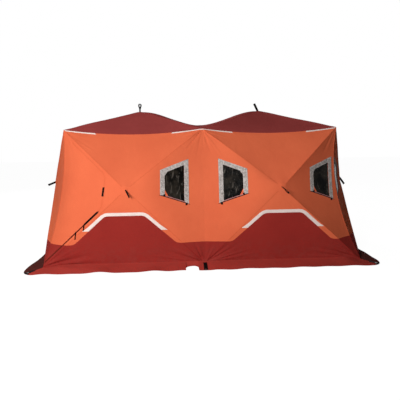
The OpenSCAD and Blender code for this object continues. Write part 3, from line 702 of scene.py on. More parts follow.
class Skin:
    """A stretched face of the shelter: its closed mesh, and what is laid on it or cut from it."""

    def __init__(self, kind, sx, sy, count, seed, lines, has_door=False):
        self.kind = kind
        _, _, self.axis, side = KINDS[kind]
        self.flip = np.array([-sx, 1.0 if kind != "long" else -sy, 1.0])
        self.pull = CORNER_PULL[sx]
        outer, share = face_pts(kind, 0.0, self.pull, count, has_door)
        inner, _ = face_pts(kind, SKIN, self.pull, count, has_door)
        x, y, z = outer.T
        a, b = {"long": (x, z), "end": (y, z), "roof": (x, y)}[kind]
        move = folds(a, b, lines) + billow(a, b, seed)
        move *= smooth_step((1 - share) / RIM_FADE) * smooth_step((share - HUB_KEEP) / HUB_FADE)
        out = np.zeros(3)
        out[self.axis] = side
        self.out = out * self.flip
        self.outer, self.inner = ((p + move[:, None] * out) * self.flip for p in (outer, inner))
        n, rings = 4 * count[0], count[1]
        at = 1 + np.arange(rings * n).reshape(rings, n)
        nxt = np.roll(at, -1, 1)
        face = [(0, a, b) for a, b in zip(at[0], nxt[0])] + [
            q for j in range(rings - 1) for q in zip(at[j], at[j + 1], nxt[j + 1], nxt[j])]
        size = len(outer)
        self.faces = (face + [tuple(i + size for i in f[::-1]) for f in face]
                      + [(a, a + size, b + size, b) for a, b in zip(at[-1], nxt[-1])])
        self.tree = BVHTree.FromPolygons(self.outer.tolist(), face)

    def solid(self, name):
        return new_object(name, np.concatenate([self.outer, self.inner]), self.faces)

    def world(self, flat):
        """Points seen square on, from the hub sideways and from the ground up, as points before the skin."""
        flat = np.asarray(flat, float)
        pts = np.zeros(flat.shape[:-1] + (3,))
        if self.kind == "long":
            pts[..., 0], pts[..., 2] = flat[..., 0] - HUB_X, flat[..., 1]
        elif self.kind == "end":
            pts[..., 1], pts[..., 2] = -flat[..., 0], flat[..., 1]
        else:
            pts[..., 0], pts[..., 1] = flat[..., 0], flat[..., 1]
        return pts * self.flip

    def lay(self, flat):
        """Points on the skin under points seen square on; one beyond its edge moves in towards the hub."""
        pts = self.world(flat)
        hub, plane = self.outer[0], 1 - np.abs(self.out)
        found = []
        for p in pts.reshape(-1, 3):
            hit, share = None, 1.0
            while hit is None:
                start = (hub + share * (p - hub)) * plane + RAY_FROM * self.out
                hit = self.tree.ray_cast(Vector(start), Vector(-self.out))[0]
                share -= STEP_IN
            found.append(hit)
        return np.array(found).reshape(pts.shape)

    def cover(self, pts, lift, thick, ripple=0.0):
        """A thin closed patch over points on the skin: rows along it, columns across it."""
        normal = unit(np.cross(np.gradient(pts, axis=0), np.gradient(pts, axis=1)))
        normal *= np.sign((normal * self.out).sum(-1, keepdims=True))
        run = np.linalg.norm(np.diff(pts, axis=0), axis=2).mean(1)
        u = np.repeat(np.concatenate([[0], np.cumsum(run)])[:, None], pts.shape[1], 1)
        wide = np.linalg.norm(np.diff(pts, axis=1), axis=2)
        v = np.concatenate([np.zeros((len(pts), 1)), np.cumsum(wide, 1)], 1)
        v = v - v[:, -1:] / 2
        edge = np.full(pts.shape[:2], thick)
        edge[:, 0] = edge[:, -1] = THIN_EDGE * thick
        waves = np.sin(130 * u + 70 * v) + np.sin(210 * u - 120 * v + 1.0) + np.sin(67 * u + 150 * v + 2.0)
        low = lift + ripple * (1 + waves / 3)
        return sheet_part(pts + normal * (low + edge)[..., None], pts + normal * low[..., None], u, v)

    def patch(self, grid, layer):
        """A thin closed patch over a grid of points seen square on."""
        return self.cover(self.lay(grid), *LAYERS[layer])


# Outlines seen square on to a wall, from the hub sideways and from the ground up
def rounded(points, radii):
    """An outline with round corners."""
    pts, out = [np.array(p, float) for p in points], []
    for i, r in enumerate(radii):
        p0, p1, p2 = pts[i - 1], pts[i], pts[(i + 1) % len(pts)]
        if not r:
            out.append(p1)
            continue
        u, v = unit(p0 - p1), unit(p2 - p1)
        half = math.acos(np.clip(u @ v, -1, 1)) / 2
        centre = p1 + unit(u + v) * r / math.sin(half)
        a, b = p1 + u * r / math.tan(half) - centre, p1 + v * r / math.tan(half) - centre
        start, turn = math.atan2(a[1], a[0]), math.atan2(a[0] * b[1] - a[1] * b[0], a @ b)
        for k in range(ARC_STEPS + 1):
            angle = start + turn * k / ARC_STEPS
            out.append(centre + r * np.array([math.cos(angle), math.sin(angle)]))
    return np.array(out)


def flank_x(z, grow):
    return SCALLOP_HALF + SCALLOP_RUN * (SCALLOP_Z - z) + grow * math.hypot(1, SCALLOP_RUN)


def base_outline(out, far=3.0):
    top, foot = flank_x(SCALLOP_Z, 0), flank_x(BAND_Z, 0)
    half = [(far, -far), (far, BAND_Z), (foot, BAND_Z), (top, SCALLOP_Z)]
    return rounded([(-x, z) for x, z in half] + half[::-1],
                   [0, 0] + [SCALLOP_R] * 4 + [0, 0]) - [out, 0]


def base_top(x, out):
    """Height of the top of a base panel at a distance from the hub."""
    return np.clip(SCALLOP_Z - (abs(x + out) - SCALLOP_HALF) / SCALLOP_RUN, BAND_Z, SCALLOP_Z)


FLARE, FLARE_H = 0.018, 0.09


def tape_edge(grow):
    """An edge of the tape over a base panel's raised middle; its ends flare out."""
    z = SCALLOP_Z + grow
    x, foot = flank_x(z, grow), flank_x(TAPE_LOW, grow)
    line = resample(rounded([(-foot, TAPE_LOW), (-x, z), (x, z), (foot, TAPE_LOW)],
                            [0, SCALLOP_R + grow, SCALLOP_R + grow, 0]), 120)
    low = np.clip((TAPE_LOW + FLARE_H - line[:, 1]) / FLARE_H, 0, 1)
    line[:, 0] += np.sign(line[:, 0]) * FLARE * grow / TAPE_W * low ** 2
    return line - [SCALLOP_OUT, 0]


def win_half_h(x):
    return (WIN_NEAR_H + (WIN_FAR_H - WIN_NEAR_H) * (x - WIN_NEAR) / (WIN_FAR - WIN_NEAR)) / 2


def window_corners(inset, below):
    """Corners of a window: near low, near high, far high, far low."""
    near, far, mid = WIN_NEAR + inset, WIN_FAR - inset, HUB_Z + WIN_RISE
    return np.array([(near, mid - win_half_h(near) + below), (near, mid + win_half_h(near) - inset),
                     (far, mid + win_half_h(far) - inset), (far, mid - win_half_h(far) + below)])


# Cutting and finishing
CUT_IN, CUT_OUT = 1.0, 0.6


def block(low, high):
    n = len(low)
    faces = [tuple(range(n)), tuple(range(2 * n - 1, n - 1, -1))]
    faces += [(i, (i + 1) % n, n + (i + 1) % n, n + i) for i in range(n)]
    return new_object("cutter", np.concatenate([low, high]), faces)


def prism(skin, outline):
    """A block with an outline seen square on to a skin, through its whole depth."""
    mid = skin.world(outline) + skin.outer[0] * np.abs(skin.out)
    return block(mid - CUT_IN * skin.out, mid + CUT_OUT * skin.out)


def boolean(obj, cutter, operation):
    mod = obj.modifiers.new("cut", "BOOLEAN")
    mod.operation, mod.solver, mod.object = operation, "MANIFOLD", cutter
    made = bpy.data.meshes.new_from_object(obj.evaluated_get(bpy.context.evaluated_depsgraph_get()))
    obj.modifiers.clear()
    obj.data = made
    bpy.data.objects.remove(cutter)
    return obj


def split_at(obj, z):
    """Cut the faces of a piece at a height."""
    with edited(obj.data) as bm:
        bmesh.ops.bisect_plane(bm, geom=bm.verts[:] + bm.edges[:] + bm.faces[:],
                               plane_co=(0, 0, z), plane_no=(0, 0, 1))
    return obj


INWARD = -0.25


def dress(obj, skin, outer, low=None):
    """Flat coordinates, outer and inner materials and smooth shading for a piece cut from a skin."""
    mesh = obj.data
    set_flat(mesh, values(mesh.vertices, "co", 3)[:, [k for k in range(3) if k != skin.axis]])
    mesh.materials.clear()
    for mat in (outer, "lining", low):
        if mat:
            mesh.materials.append(MATS[mat])
    side = (values(mesh.polygons, "normal", 3) @ skin.out < INWARD).astype(np.int32)
    if low:
        side[(side == 0) & (values(mesh.polygons, "center", 3)[:, 2] < BAND_Z)] = 2
    mesh.polygons.foreach_set("material_index", side)
    return soften(obj)


def finish_piece(obj, mat, body, slot, *replaced):
    """Give a piece its material and body, and hide the parts it replaces; its slot is not used."""
    if mat:
        obj.data.materials.clear()
        obj.data.materials.append(MATS[mat])
    if body:
        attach(obj, body)
    if replaced:
        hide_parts(*replaced)
    return obj


# Door, in its own flat frame: from the fold to the hub, up the fold and outward
MID_HUB = long_hub(SKIN / 2)
FOLD_LOW, FOLD_HIGH = fold_ends(MID_HUB, SKIN / 2)
FOLD_UP = unit(FOLD_HIGH - FOLD_LOW)
FOLD_L = np.linalg.norm(FOLD_HIGH - FOLD_LOW)
LOW_PAD = pad_pts(MID_HUB, 1, base_pt(-1, -1, 0)) - FOLD_LOW
HIGH_PAD = pad_pts(MID_HUB, 1, top_pt(-1, -1, 0)) - FOLD_LOW
NOSE_AIM = (LOW_PAD + HIGH_PAD) / 2
FOLD_SIDE = unit(NOSE_AIM - (NOSE_AIM @ FOLD_UP) * FOLD_UP)
FOLD_OUT = np.cross(FOLD_SIDE, FOLD_UP)
LOW_RATE = (LOW_PAD @ FOLD_UP) / (LOW_PAD @ FOLD_SIDE)
HIGH_RATE = (HIGH_PAD @ FOLD_UP - FOLD_L) / (HIGH_PAD @ FOLD_SIDE)
FLAP_BACK, DOOR_DEEP, FOLD_REACH = 0.06, 0.15, 0.045


def on_door(flat, out=0.0):
    flat = np.asarray(flat, float)
    return FOLD_LOW + flat[..., :1] * FOLD_SIDE + flat[..., 1:2] * FOLD_UP + out * FOLD_OUT


def door_low(x, grow=0.0):
    return LOW_RATE * x + (JAMB - grow) * math.hypot(1, LOW_RATE)


def door_high(x, grow=0.0):
    return FOLD_L + HIGH_RATE * x - (JAMB - grow) * math.hypot(1, HIGH_RATE)


def door_outline(x0, grow):
    nose = NOSE + grow
    return rounded([(x0, door_low(x0, grow)), (nose, door_low(nose, grow)), (nose, door_high(nose, grow)),
                    (x0, door_high(x0, grow))], [0, NOSE_R + grow, NOSE_R + grow, 0])


def door_block(grow):
    outline = door_outline(-FLAP_BACK, grow)
    return block(on_door(outline, -DOOR_DEEP), on_door(outline, DOOR_DEEP))


def bend(piece):
    """Bake a piece's placement into its mesh."""
    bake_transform(piece)


# Skins, and the walls, base panels, roof bays and door flap cut from them
LONG_WALLS = {"front_left": (-1, -1), "front_right": (1, -1), "back_left": (-1, 1), "back_right": (1, 1)}
SKINS = {}
for index, (name, (sx, sy)) in enumerate(LONG_WALLS.items()):
    has_door = name == "front_left"
    creases = wall_folds(11 + 7 * index) + (FRONT_LEFT_EXTRA if has_door else [])
    SKINS[name] = Skin("long", sx, sy, FINE if sy < 0 else PLAIN, 3 + index, creases, has_door)
for kind, lines_of, seed in (("end", end_folds, 21), ("roof", roof_folds, 31)):
    for index, (side, sx) in enumerate((("left", -1), ("right", 1))):
        SKINS[f"{side}_{kind}"] = Skin(kind, sx, 1, PLAIN, seed + index, lines_of(index))

WINDOWS = {"front_left": (1,), "front_right": (1, -1), "back_left": (1,), "back_right": (1, -1),
           "right_end": (1, -1)}
walls, bases, roofs = {}, {}, {}
for name, skin in SKINS.items():
    if skin.kind == "roof":
        roof = dress(skin.solid(name + "_cloth"), skin, "roof")
        roofs[name] = finish_piece(roof, None, "shelter", "roof_fabric", name)
        continue
    panel = base_outline(SCALLOP_OUT if skin.kind == "long" else 0.0)
    wall = boolean(skin.solid(name + "_upper"), prism(skin, panel), "DIFFERENCE")
    base = boolean(skin.solid(name + "_lower"), prism(skin, panel), "INTERSECT")
    for side in WINDOWS.get(name, ()):
        boolean(wall, prism(skin, window_corners(WIN_TAPE, WIN_SILL) * [side, 1]), "DIFFERENCE")
    if name == "front_left":
        flap = boolean(skin.solid("door_cloth"), door_block(0.0), "INTERSECT")
        for piece in (wall, base):
            boolean(piece, door_block(DOOR_GAP), "DIFFERENCE")
        dress(split_at(flap, BAND_Z), skin, "wall", low="base")
    walls[name] = finish_piece(dress(wall, skin, "wall"), None, "shelter", "wall_fabric", name + "_wall")
    bases[name] = finish_piece(dress(base, skin, "base"), None, "shelter", "base_fabric", name + "_base")
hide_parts("door_flap", "door_piping")
bend(flap)

# Seams over the poles
SEAM_ENDS = (0.02, 0.985)
for name, skin in SKINS.items():
    upper, lower = [], []
    hub_at, edges_at, _, _ = KINDS[skin.kind]
    for corner, _, _, _ in edges_at(0.0, skin.pull):
        x, y, z = ray_run(hub_at(0.0), skin.axis, corner, np.linspace(*SEAM_ENDS, 70)).T
        flat = np.stack({"long": (x + HUB_X, z), "end": (-y, z), "roof": (x, y)}[skin.kind], -1)
        run = unit(np.gradient(flat, axis=0))
        side = np.stack([-run[:, 1], run[:, 0]], -1) * SEAM_W / 2
        grid = between(flat - side, flat + side, 5)
        if skin.kind == "roof":
            upper.append(skin.patch(grid, "seam"))
            continue
        above = np.array([z > base_top(x, SCALLOP_OUT if skin.kind == "long" else 0.0) for x, z in flat])
        for keep, parts in ((above, upper), (~above, lower)):
            if keep.sum() > 2:
                parts.append(skin.patch(grid[keep], "seam"))
    kind = "roof" if skin.kind == "roof" else "wall"
    finish_piece(joined(name + "_seams", upper), kind + "_seam", "shelter", kind + "_fabric")
    if lower:
        finish_piece(joined(name + "_low_seams", lower), "base_seam", "shelter", "base_fabric")

# Windows: film, tape on three sides, gussets at the narrow side, the lower edge and its zip with stubs
WINDOW_GROUPS = {"front": ("front_left", "front_right"), "back": ("back_left", "back_right"),
                 "end": ("right_end",)}
WINDOW_PARTS = {"film": ("film", "window_film", "_window_panes"),
                "tape": ("frame_tape", "window_tape", "_window_frames"),
                "gussets": ("wall", "wall_fabric"), "sills": ("sill_tape", "window_tape"),
                "window_zips": ("webbing", "webbing")}
GUSSETS = {0: (0.05, 0.075), 1: (0.04, 0.04)}
FILM_TUCK, SILL_SHARE = 0.006, 0.65
STUB_EDGE, STUBS = np.array([[-0.014, -0.016], [-0.014, 0.01]]), ((0, 0.9), (3, 0.55))
for group, members in WINDOW_GROUPS.items():
    made = {part: [] for part in WINDOW_PARTS}
    for skin, side in [(SKINS[name], side) for name in members for side in WINDOWS[name]]:
        inner, outer, glass = (window_corners(*inset) * [side, 1] for inset in (
            (WIN_TAPE, WIN_SILL), (0.0, 0.0), (WIN_TAPE - FILM_TUCK, WIN_SILL - FILM_TUCK)))
        pane = between(straight(glass[0], glass[1], 36), straight(glass[3], glass[2], 36), 24)
        made["film"].append(skin.patch(pane, "film"))
        for a, b in ((0, 1), (1, 2), (3, 2)):
            strip = between(straight(inner[a], inner[b], 44), straight(outer[a], outer[b], 44), 9)
            made["tape"].append(skin.patch(strip, "frame"))
        for k, (wide, high) in GUSSETS.items():
            ends = np.stack([inner[k] + wide * unit(inner[3 - k] - inner[k]),
                             inner[k] + high * unit(inner[1 - k] - inner[k])])
            cut = straight(*ends, 44)
            gusset = skin.patch(between(cut, cut + inner[k] - ends.mean(0), 6), "gusset")
            made["tape" if k else "gussets"].append(gusset)
        near, far = straight(inner[0], inner[3], 44), straight(outer[0], outer[3], 44)
        sill = near * (1 - SILL_SHARE) + far * SILL_SHARE
        made["sills"].append(skin.patch(between(near, sill, 4), "sill"))
        below = far * (2 - SILL_SHARE) - near * (1 - SILL_SHARE)
        made["window_zips"].append(skin.patch(between(sill, below, 4), "window_zip"))
        for k, share in STUBS:
            at = outer[k] + (inner[k] - outer[k]) * [share, 0.0]
            stub = between(at + STUB_EDGE, at + STUB_EDGE * [-1, 1], 4)
            made["window_zips"].append(skin.patch(stub, "stub"))
    for part, (mat, slot, *replaced) in WINDOW_PARTS.items():
        piece = joined(f"{group}_{part}", made[part])
        finish_piece(piece, mat, "shelter", slot, *(group + n for n in replaced))

# Reflective tapes: over the raised middles, and along the eaves, where they meet at the middle
TIP_IN = 0.002
eave, humps = [], []
for name in LONG_WALLS:
    skin, hub = SKINS[name], long_hub(0.0)
    humps.append(skin.patch(between(tape_edge(0.0), tape_edge(TAPE_W), 6), "hump"))
    start, end, sag, _ = long_edges(0.0, skin.pull)[0]
    share = EAVE_TAPE_L / (end[0] - start[0])
    for first, last in ((0.002, share), (1 - share, 0.999)):
        rows = [ray_run(hub, 1, e, np.linspace(1 - EAVE_TAPE_W / np.linalg.norm(e - hub), 0.999, 6))
                for e in edge_pts(start, end, sag, np.linspace(first, last, 40))]
        eave.append(skin.cover(np.array(rows) * skin.flip, *LAYERS["eave"]))
    tip = np.array([HUB_X - TIP_IN, EAVE_Z - TIP_IN])
    slant = tip + np.linspace(0.08, 1.0, 6)[:, None] * EAVE_TAPE_W * unit([0.0, HUB_Z] - tip)
    level = np.stack([np.full(len(slant), tip[0]), slant[:, 1]], -1)
    eave.append(skin.patch(between(slant, level, 4), "eave"))
finish_piece(joined("eave_tape", eave), "reflector", "shelter", "reflective_tape", "eave_reflectors")
finish_piece(joined("hump_tape", humps), "reflector", "shelter", "reflective_tape", "base_reflectors")

# Zip along the lower edge of the flap, a cover along the rest, and their ends beyond the fold
LIP_X, LIP_STEPS = 0.06, 400
ZIP_END, FLY_START, FLY_END = 0.37, 0.205, 0.36
ZIP_IN, ZIP_OUT, COVER_OUT, FLY_HALF, LIP_OVER, LIP_LAP = 0.008, 0.009, 0.014, 0.013, 0.006, 0.004
CORNER_ZIP_END, CORNER_ZIP_LOW, COVER_PAST = -0.235, 0.014, 0.02
door_skin = SKINS["front_left"]


def to_wall(flat):
    """Points of the door's frame, seen square on to its wall."""
    pts = on_door(flat)
    return np.stack([pts[..., 0] + HUB_X, pts[..., 2]], -1)


def lip_grid(first, last, count, low=-ZIP_W, high=DOOR_GAP + LIP_OVER):
    """A strip along the free edge of the flap between two shares of the way round from the fold."""
    first, last = int(first * (LIP_STEPS - 1)), int(last * (LIP_STEPS - 1)) + 1
    edges = (resample(door_outline(LIP_X, grow), LIP_STEPS)[first:last] for grow in (low, high))
    return to_wall(between(*(resample(edge, count) for edge in edges), 5))


def door_strip(edge_at, first, last, count, below, above, columns):
    """A strip along the line of the flap's lower or upper edge."""
    x = np.linspace(first, last, count)
    line = np.stack([x, [edge_at(v) for v in x]], -1)
    return to_wall(between(line - [0, below], line + [0, above], columns))


def sewn(name, grid, layer, mat, body, slot, *replaced):
    """A strip sewn to the door or to the wall beside it."""
    return finish_piece(joined(name, [door_skin.patch(grid, layer)]), mat, body, slot, *replaced)


sewn("door_zip_tape", lip_grid(0.0, ZIP_END, 70, -ZIP_IN, ZIP_OUT),
     "zip", "zip", "door", "webbing", "door_zip")
sewn("door_zip_cover", lip_grid(ZIP_END, 1.0, 110, high=COVER_OUT),
     "cover", "wall_seam", "door", "wall_fabric")
sewn("door_zip_fly", lip_grid(FLY_START, FLY_END, 40, -FLY_HALF, FLY_HALF),
     "fly", "webbing", "door", "webbing")
corner_run = door_strip(door_low, LIP_X - LIP_LAP, CORNER_ZIP_END, 40, CORNER_ZIP_LOW, ZIP_OUT, 4)
bend(sewn("corner_zip_tape", corner_run, "corner_zip", "zip", None, "webbing"))
cover_run = door_strip(door_high, LIP_X + LIP_LAP, -FLAP_BACK - COVER_PAST, 24, ZIP_W, COVER_OUT, 5)
bend(sewn("door_cover_end", cover_run, "cover_end", "wall_seam", None, "wall_fabric"))
DOOR_TAB_L, DOOR_TAB_W, DOOR_TAB_IN = 0.12, 0.028, 0.006
tab_at = np.array([NOSE - DOOR_TAB_IN, (door_low(NOSE) + door_high(NOSE)) / 2])
bar = tab_at + np.linspace(-DOOR_TAB_L / 2, DOOR_TAB_L / 2, 14)[:, None] * [0.0, 1.0] - [DOOR_TAB_W / 2, 0.0]
sewn("door_tab", to_wall(between(bar, bar + [DOOR_TAB_W, 0], 5)), "door_tab", "webbing", "door", "webbing")


SLIDER = [(0.0005, -0.004), (0.008, -0.004), (0.009, 0.0), (0.006, 0.004), (0.0005, 0.005)]
ZIP_PULL_OUT, ZIP_PULL_LEAN, ZIP_PULL_BOW, ZIP_PULL_W, ZIP_PULL_T = 0.006, 0.012, 0.004, 0.016, 0.002


def zip_pull(name, share, length):
    """A short webbing pull that hangs from the zip, with its slider."""
    out = door_skin.out
    at = door_skin.lay(lip_grid(share, share + 0.004, 3)[1, 2][None])[0] + ZIP_PULL_OUT * out
    t = np.linspace(0, 1, 10)[:, None]
    path = at + t * np.array([-ZIP_PULL_LEAN, 0.0, -length]) + ZIP_PULL_BOW * np.sin(math.pi * t) * out
    strap = ribbon(path, np.repeat([[1.0, 0.0, 0.0]], 10, 0), ZIP_PULL_W, ZIP_PULL_T)
    slider = lathe(SLIDER, at, out, 16)
    finish_piece(joined(name, [strap, slider]), "webbing", "door", "webbing")


zip_pull("upper_zip_pull", 0.2, 0.085)
zip_pull("lower_zip_pull", 0.1, 0.095)

# Ground skirts: soft sheets that lie on the ground
SKIRT_L, SKIRT_D = BAY + END_SKIRT_W, HALF_D + SKIRT_W
INNER_L, INNER_D = BAY + SKIRT_SEAT, HALF_D + SKIRT_SEAT
SKIRT_TIP = np.array([SKIRT_L, SKIRT_D]) - SKIRT_R * (1 - math.sqrt(0.5))
ARC_MID = np.array([-SKIRT_L + SKIRT_R, -SKIRT_D + SKIRT_R])
TIP_WAY = unit(SKIRT_TIP - [INNER_L, INNER_D])
CORNER_EYELET = SKIRT_TIP - 6 * EYELET_R * TIP_WAY
MID_EYELET = np.array([0.0, SKIRT_D - 3 * EYELET_R])
SIGNS = [(-1, -1), (1, -1), (-1, 1), (1, 1)]
TABS = ([(CORNER_EYELET * t, TIP_WAY * t) for t in SIGNS]
        + [(MID_EYELET * (1, t), np.array([0.0, t])) for t in (-1, 1)])
FOOT_RISE, FOOT_CURVE, FOOT_RUN = 0.035, 1.5, (HUB_Y - HALF_D) / HUB_Z
CORNER_TAB_L, MID_TAB_L, TAB_T = 0.12, 0.23, 0.0022
SKIRT_ROWS, SKIRT_TRIM, EDGE_GAP = 14, 0.0004, 0.01
WAVE_H, WAVE_CURVE, WAVE_SHARE, CORNER_FLAT, CORNER_FADE = 0.006, 1.5, 0.6, 0.02, 0.25
TAB_REACH, TAB_FADE, TAB_SINK, BIND_IN, BIND_W, BIND_T = (-0.22, 0.05), 0.1, 0.0002, 0.012, 0.026, 0.0016


def skirt_arc(first, last, count=16):
    turn = np.radians(np.linspace(first, last, count))
    return ARC_MID - SKIRT_R * np.stack([np.cos(turn), np.sin(turn)], -1)


def notch_arc(side, count=24):
    """Half of the notch, from the skirt's edge to its top."""
    turn = np.linspace(0, math.pi / 2, count)
    arc = np.stack([-NOTCH_X + side * NOTCH_HALF * np.cos(turn),
                    -SKIRT_D + NOTCH_DEEP - NOTCH_HALF * (1 - np.sin(turn))], -1)
    return np.concatenate([[[-NOTCH_X + side * NOTCH_HALF, -SKIRT_D]], arc])


def eyelet_cutter():
    post = [(0.0001, -0.02), (EYELET_R, -0.02), (EYELET_R, 0.05), (0.0001, 0.05)]
    return joined("cutter", [lathe(post, np.array([*at, 0.0]), (0, 0, 1.0), 24) for at, _ in TABS])


def skirt(name, inner, outer, turn, mat, seed):
    """A sheet between two edges: it rises to the wall, and is waved except under the stake tabs."""
    rng = np.random.default_rng(seed)
    share = np.linspace(0, 1, SKIRT_ROWS)[None]
    run = run_along(outer)[:, None]
    waves = sum(rng.uniform(0.4, 1.0) * np.sin(2 * math.pi * run / rng.uniform(0.3, 1.1) + rng.uniform(0, 6)
                                               + 2 * rng.uniform(-1, 1) * share) for _ in range(5))
    clear = np.linalg.norm(np.array([INNER_L, INNER_D]) - np.abs(inner), axis=1)[:, None]
    rise = FOOT_RISE * smooth_step((clear - CORNER_FLAT) / CORNER_FADE)
    grid = between(inner + unit(outer - inner) * FOOT_RUN * rise, outer, SKIRT_ROWS)
    lift = np.maximum(WAVE_H * share ** WAVE_CURVE * (1.0 + WAVE_SHARE * waves), 0)
    for at, lead in TABS:
        along = np.clip(((grid * turn - at) * lead).sum(-1), *TAB_REACH)[..., None]
        away = np.linalg.norm(grid * turn - at - along * lead, axis=-1)
        lift = lift * smooth_step((away - TAB_W) / TAB_FADE)
    flat = np.concatenate([grid * turn, (lift + rise * (1 - share) ** FOOT_CURVE)[..., None]], -1)
    part = sheet_part(flat + [0, 0, SKIRT_T - SKIRT_TRIM], flat + [0, 0, SKIRT_TRIM],
                      grid[..., 0], grid[..., 1])
    sheet = boolean(joined(name + "_cloth", [part]), eyelet_cutter(), "DIFFERENCE")
    return finish_piece(soften(sheet), mat, "shelter", "skirt_fabric", name)


def wall_foot(outer, low, high, axis, other):
    """Points along a wall's foot opposite the points of a skirt's outer edge."""
    spread = np.linspace(0, 1e-3, len(outer)) * np.sign(outer[-1, axis] - outer[0, axis])
    pts = np.full(outer.shape, other)
    pts[:, axis] = np.clip(np.clip(outer[:, axis], low, high) + spread, low, high)
    return pts


def foot_height(y):
    """Height of a skirt over the ground in the middle of a wall."""
    return FOOT_RISE * (1 - np.clip((np.abs(y) - INNER_D) / SKIRT_W, 0, 1)) ** FOOT_CURVE


def stake_tab(at, lead):
    """A round-ended webbing tab that leads over the skirt to its eyelet."""
    middle, r = at[0] == 0, TAB_W / 2
    run = np.concatenate([np.linspace(r - (MID_TAB_L if middle else CORNER_TAB_L), 0, 24),
                          r * np.sin(np.linspace(0.1, 1.5, 10))])
    half = np.sqrt(np.maximum(r * r - np.maximum(run, 0) ** 2, 1e-7))
    side = np.array([-lead[1], lead[0]])
    across = np.linspace(-1, 1, 7)
    flat = at + run[:, None, None] * lead + (half[:, None] * across)[..., None] * side
    high = (foot_height(flat[..., 1]) if middle else np.zeros(flat.shape[:2])) + SKIRT_T
    top = np.concatenate([flat, (high + TAB_T)[..., None]], -1)
    low = np.concatenate([flat, (high - TAB_SINK)[..., None]], -1)
    return sheet_part(top, low, np.repeat(run[:, None], 7, 1), half[:, None] * across)


tabs = [stake_tab(at, lead) for at, lead in TABS]
for sx, sy in SIGNS:
    arc = np.concatenate([skirt_arc(25, 65), np.full((16, 1), SKIRT_T + SKIRT_TRIM)], 1)
    inward = unit([*ARC_MID, SKIRT_T + SKIRT_TRIM] - arc)
    flip = np.array([-sx, -sy, 1])
    tabs.append(ribbon((arc + BIND_IN * inward) * flip, inward * flip, BIND_W, BIND_T))
tab_piece = boolean(joined("stake_tab_webbing", tabs), eyelet_cutter(), "DIFFERENCE")
finish_piece(soften(tab_piece), "webbing", "shelter", "webbing", "stake_tabs")

left_edge = np.concatenate([
    skirt_arc(45, 90),
    resample([(ARC_MID[0] + EDGE_GAP, -SKIRT_D), (-NOTCH_X - NOTCH_HALF - EDGE_GAP, -SKIRT_D)], 120),
    notch_arc(-1)])
right_edge = np.concatenate([
    notch_arc(1)[::-1],
    resample([(-NOTCH_X + NOTCH_HALF + EDGE_GAP, -SKIRT_D), (-ARC_MID[0] - EDGE_GAP, -SKIRT_D)], 130),
    skirt_arc(45, 90)[::-1] * [-1, 1]])
end_edge = np.concatenate([
    skirt_arc(0, 45)[::-1],
    resample([(-SKIRT_L, ARC_MID[1] + EDGE_GAP), (-SKIRT_L, -ARC_MID[1] - EDGE_GAP)], 80),
    skirt_arc(0, 45) * [1, -1]])
SKIRT_SEED = 41
skirts = []
for place, turn, names in (("front", 1.0, ("left", "right")), ("back", -1.0, ("right", "left"))):
    for side, edge, low, high in ((names[0], left_edge, -INNER_L, -NOTCH_X),
                                  (names[1], right_edge, -NOTCH_X, INNER_L)):
        inner = wall_foot(edge, low, high, 0, -INNER_D)
        skirts.append(skirt(f"{place}_{side}_skirt", inner, edge, turn, "skirt", len(skirts) + SKIRT_SEED))
for place, turn in (("left", 1.0), ("right", -1.0)):
    inner = wall_foot(end_edge, -INNER_D, INNER_D, 1, -INNER_L)
    skirts.append(skirt(f"{place}_end_skirt", inner, end_edge, turn, "end_skirt", len(skirts) + SKIRT_SEED))


# Hub patches and their pulls
def turned(ax, ay):
    a, b = math.radians(ax), math.radians(ay)
    about_x = np.array([[1, 0, 0], [0, math.cos(a), -math.sin(a)], [0, math.sin(a), math.cos(a)]])
    about_y = np.array([[math.cos(b), 0, math.sin(b)], [0, 1, 0], [-math.sin(b), 0, math.cos(b)]])
    return about_y @ about_x


LOOP_START, PULL_T, PULL_GAP = 0.42, 0.0036, 0.002
OPEN_FROM, OPEN_RUN, LOOP_CLEAR = 0.35, 0.6, 0.003
HUB_PATCH = [(0.0005, 0.0002), (CAP_R, 0.0002), (CAP_R, 0.0012), (CAP_R - 0.002, 0.0022),
             (CAP_R * 0.6, 0.003), (CAP_R * 0.4, CAP_H), (0.0005, CAP_H)]


def pull(hub, right, up, out, fall, turn, twist, width, half, droop):
    """A folded webbing loop that leads out of a hub, and the round patch it is sewn to."""
    axes = np.stack([right, up, out], 1) @ turned(fall, turn)
    a = math.radians(twist)
    wide = math.cos(a) * axes[:, 1] + math.sin(a) * axes[:, 0]
    open_way = math.cos(a) * axes[:, 0] - math.sin(a) * axes[:, 1]
    t = np.linspace(0, 1, 60)
    arc = math.pi * np.clip((t - LOOP_START) / (1 - 2 * LOOP_START), 0, 1)
    round_part = (t > LOOP_START) & (t < 1 - LOOP_START)
    near = np.clip((0.5 - np.abs(t - 0.5)) / LOOP_START, 0, 1)
    spread = PULL_GAP + (half - PULL_GAP) * smooth_step((near - OPEN_FROM) / OPEN_RUN)
    x = np.where(round_part, -half * np.cos(arc), np.where(t < 0.5, -1, 1) * spread)
    reach = STRAP_L - half - LOOP_CLEAR
    y = np.where(round_part, reach + half * np.sin(arc), reach * near)
    path = hub + out * CAP_H / 2 + x[:, None] * open_way + y[:, None] * axes[:, 2]
    path = path + (y / STRAP_L)[:, None] ** 2 * np.array([0.0, 0.0, -droop])
    return ribbon(path, np.repeat(-wide[None], len(t), 0), width, PULL_T), lathe(HUB_PATCH, hub, out)


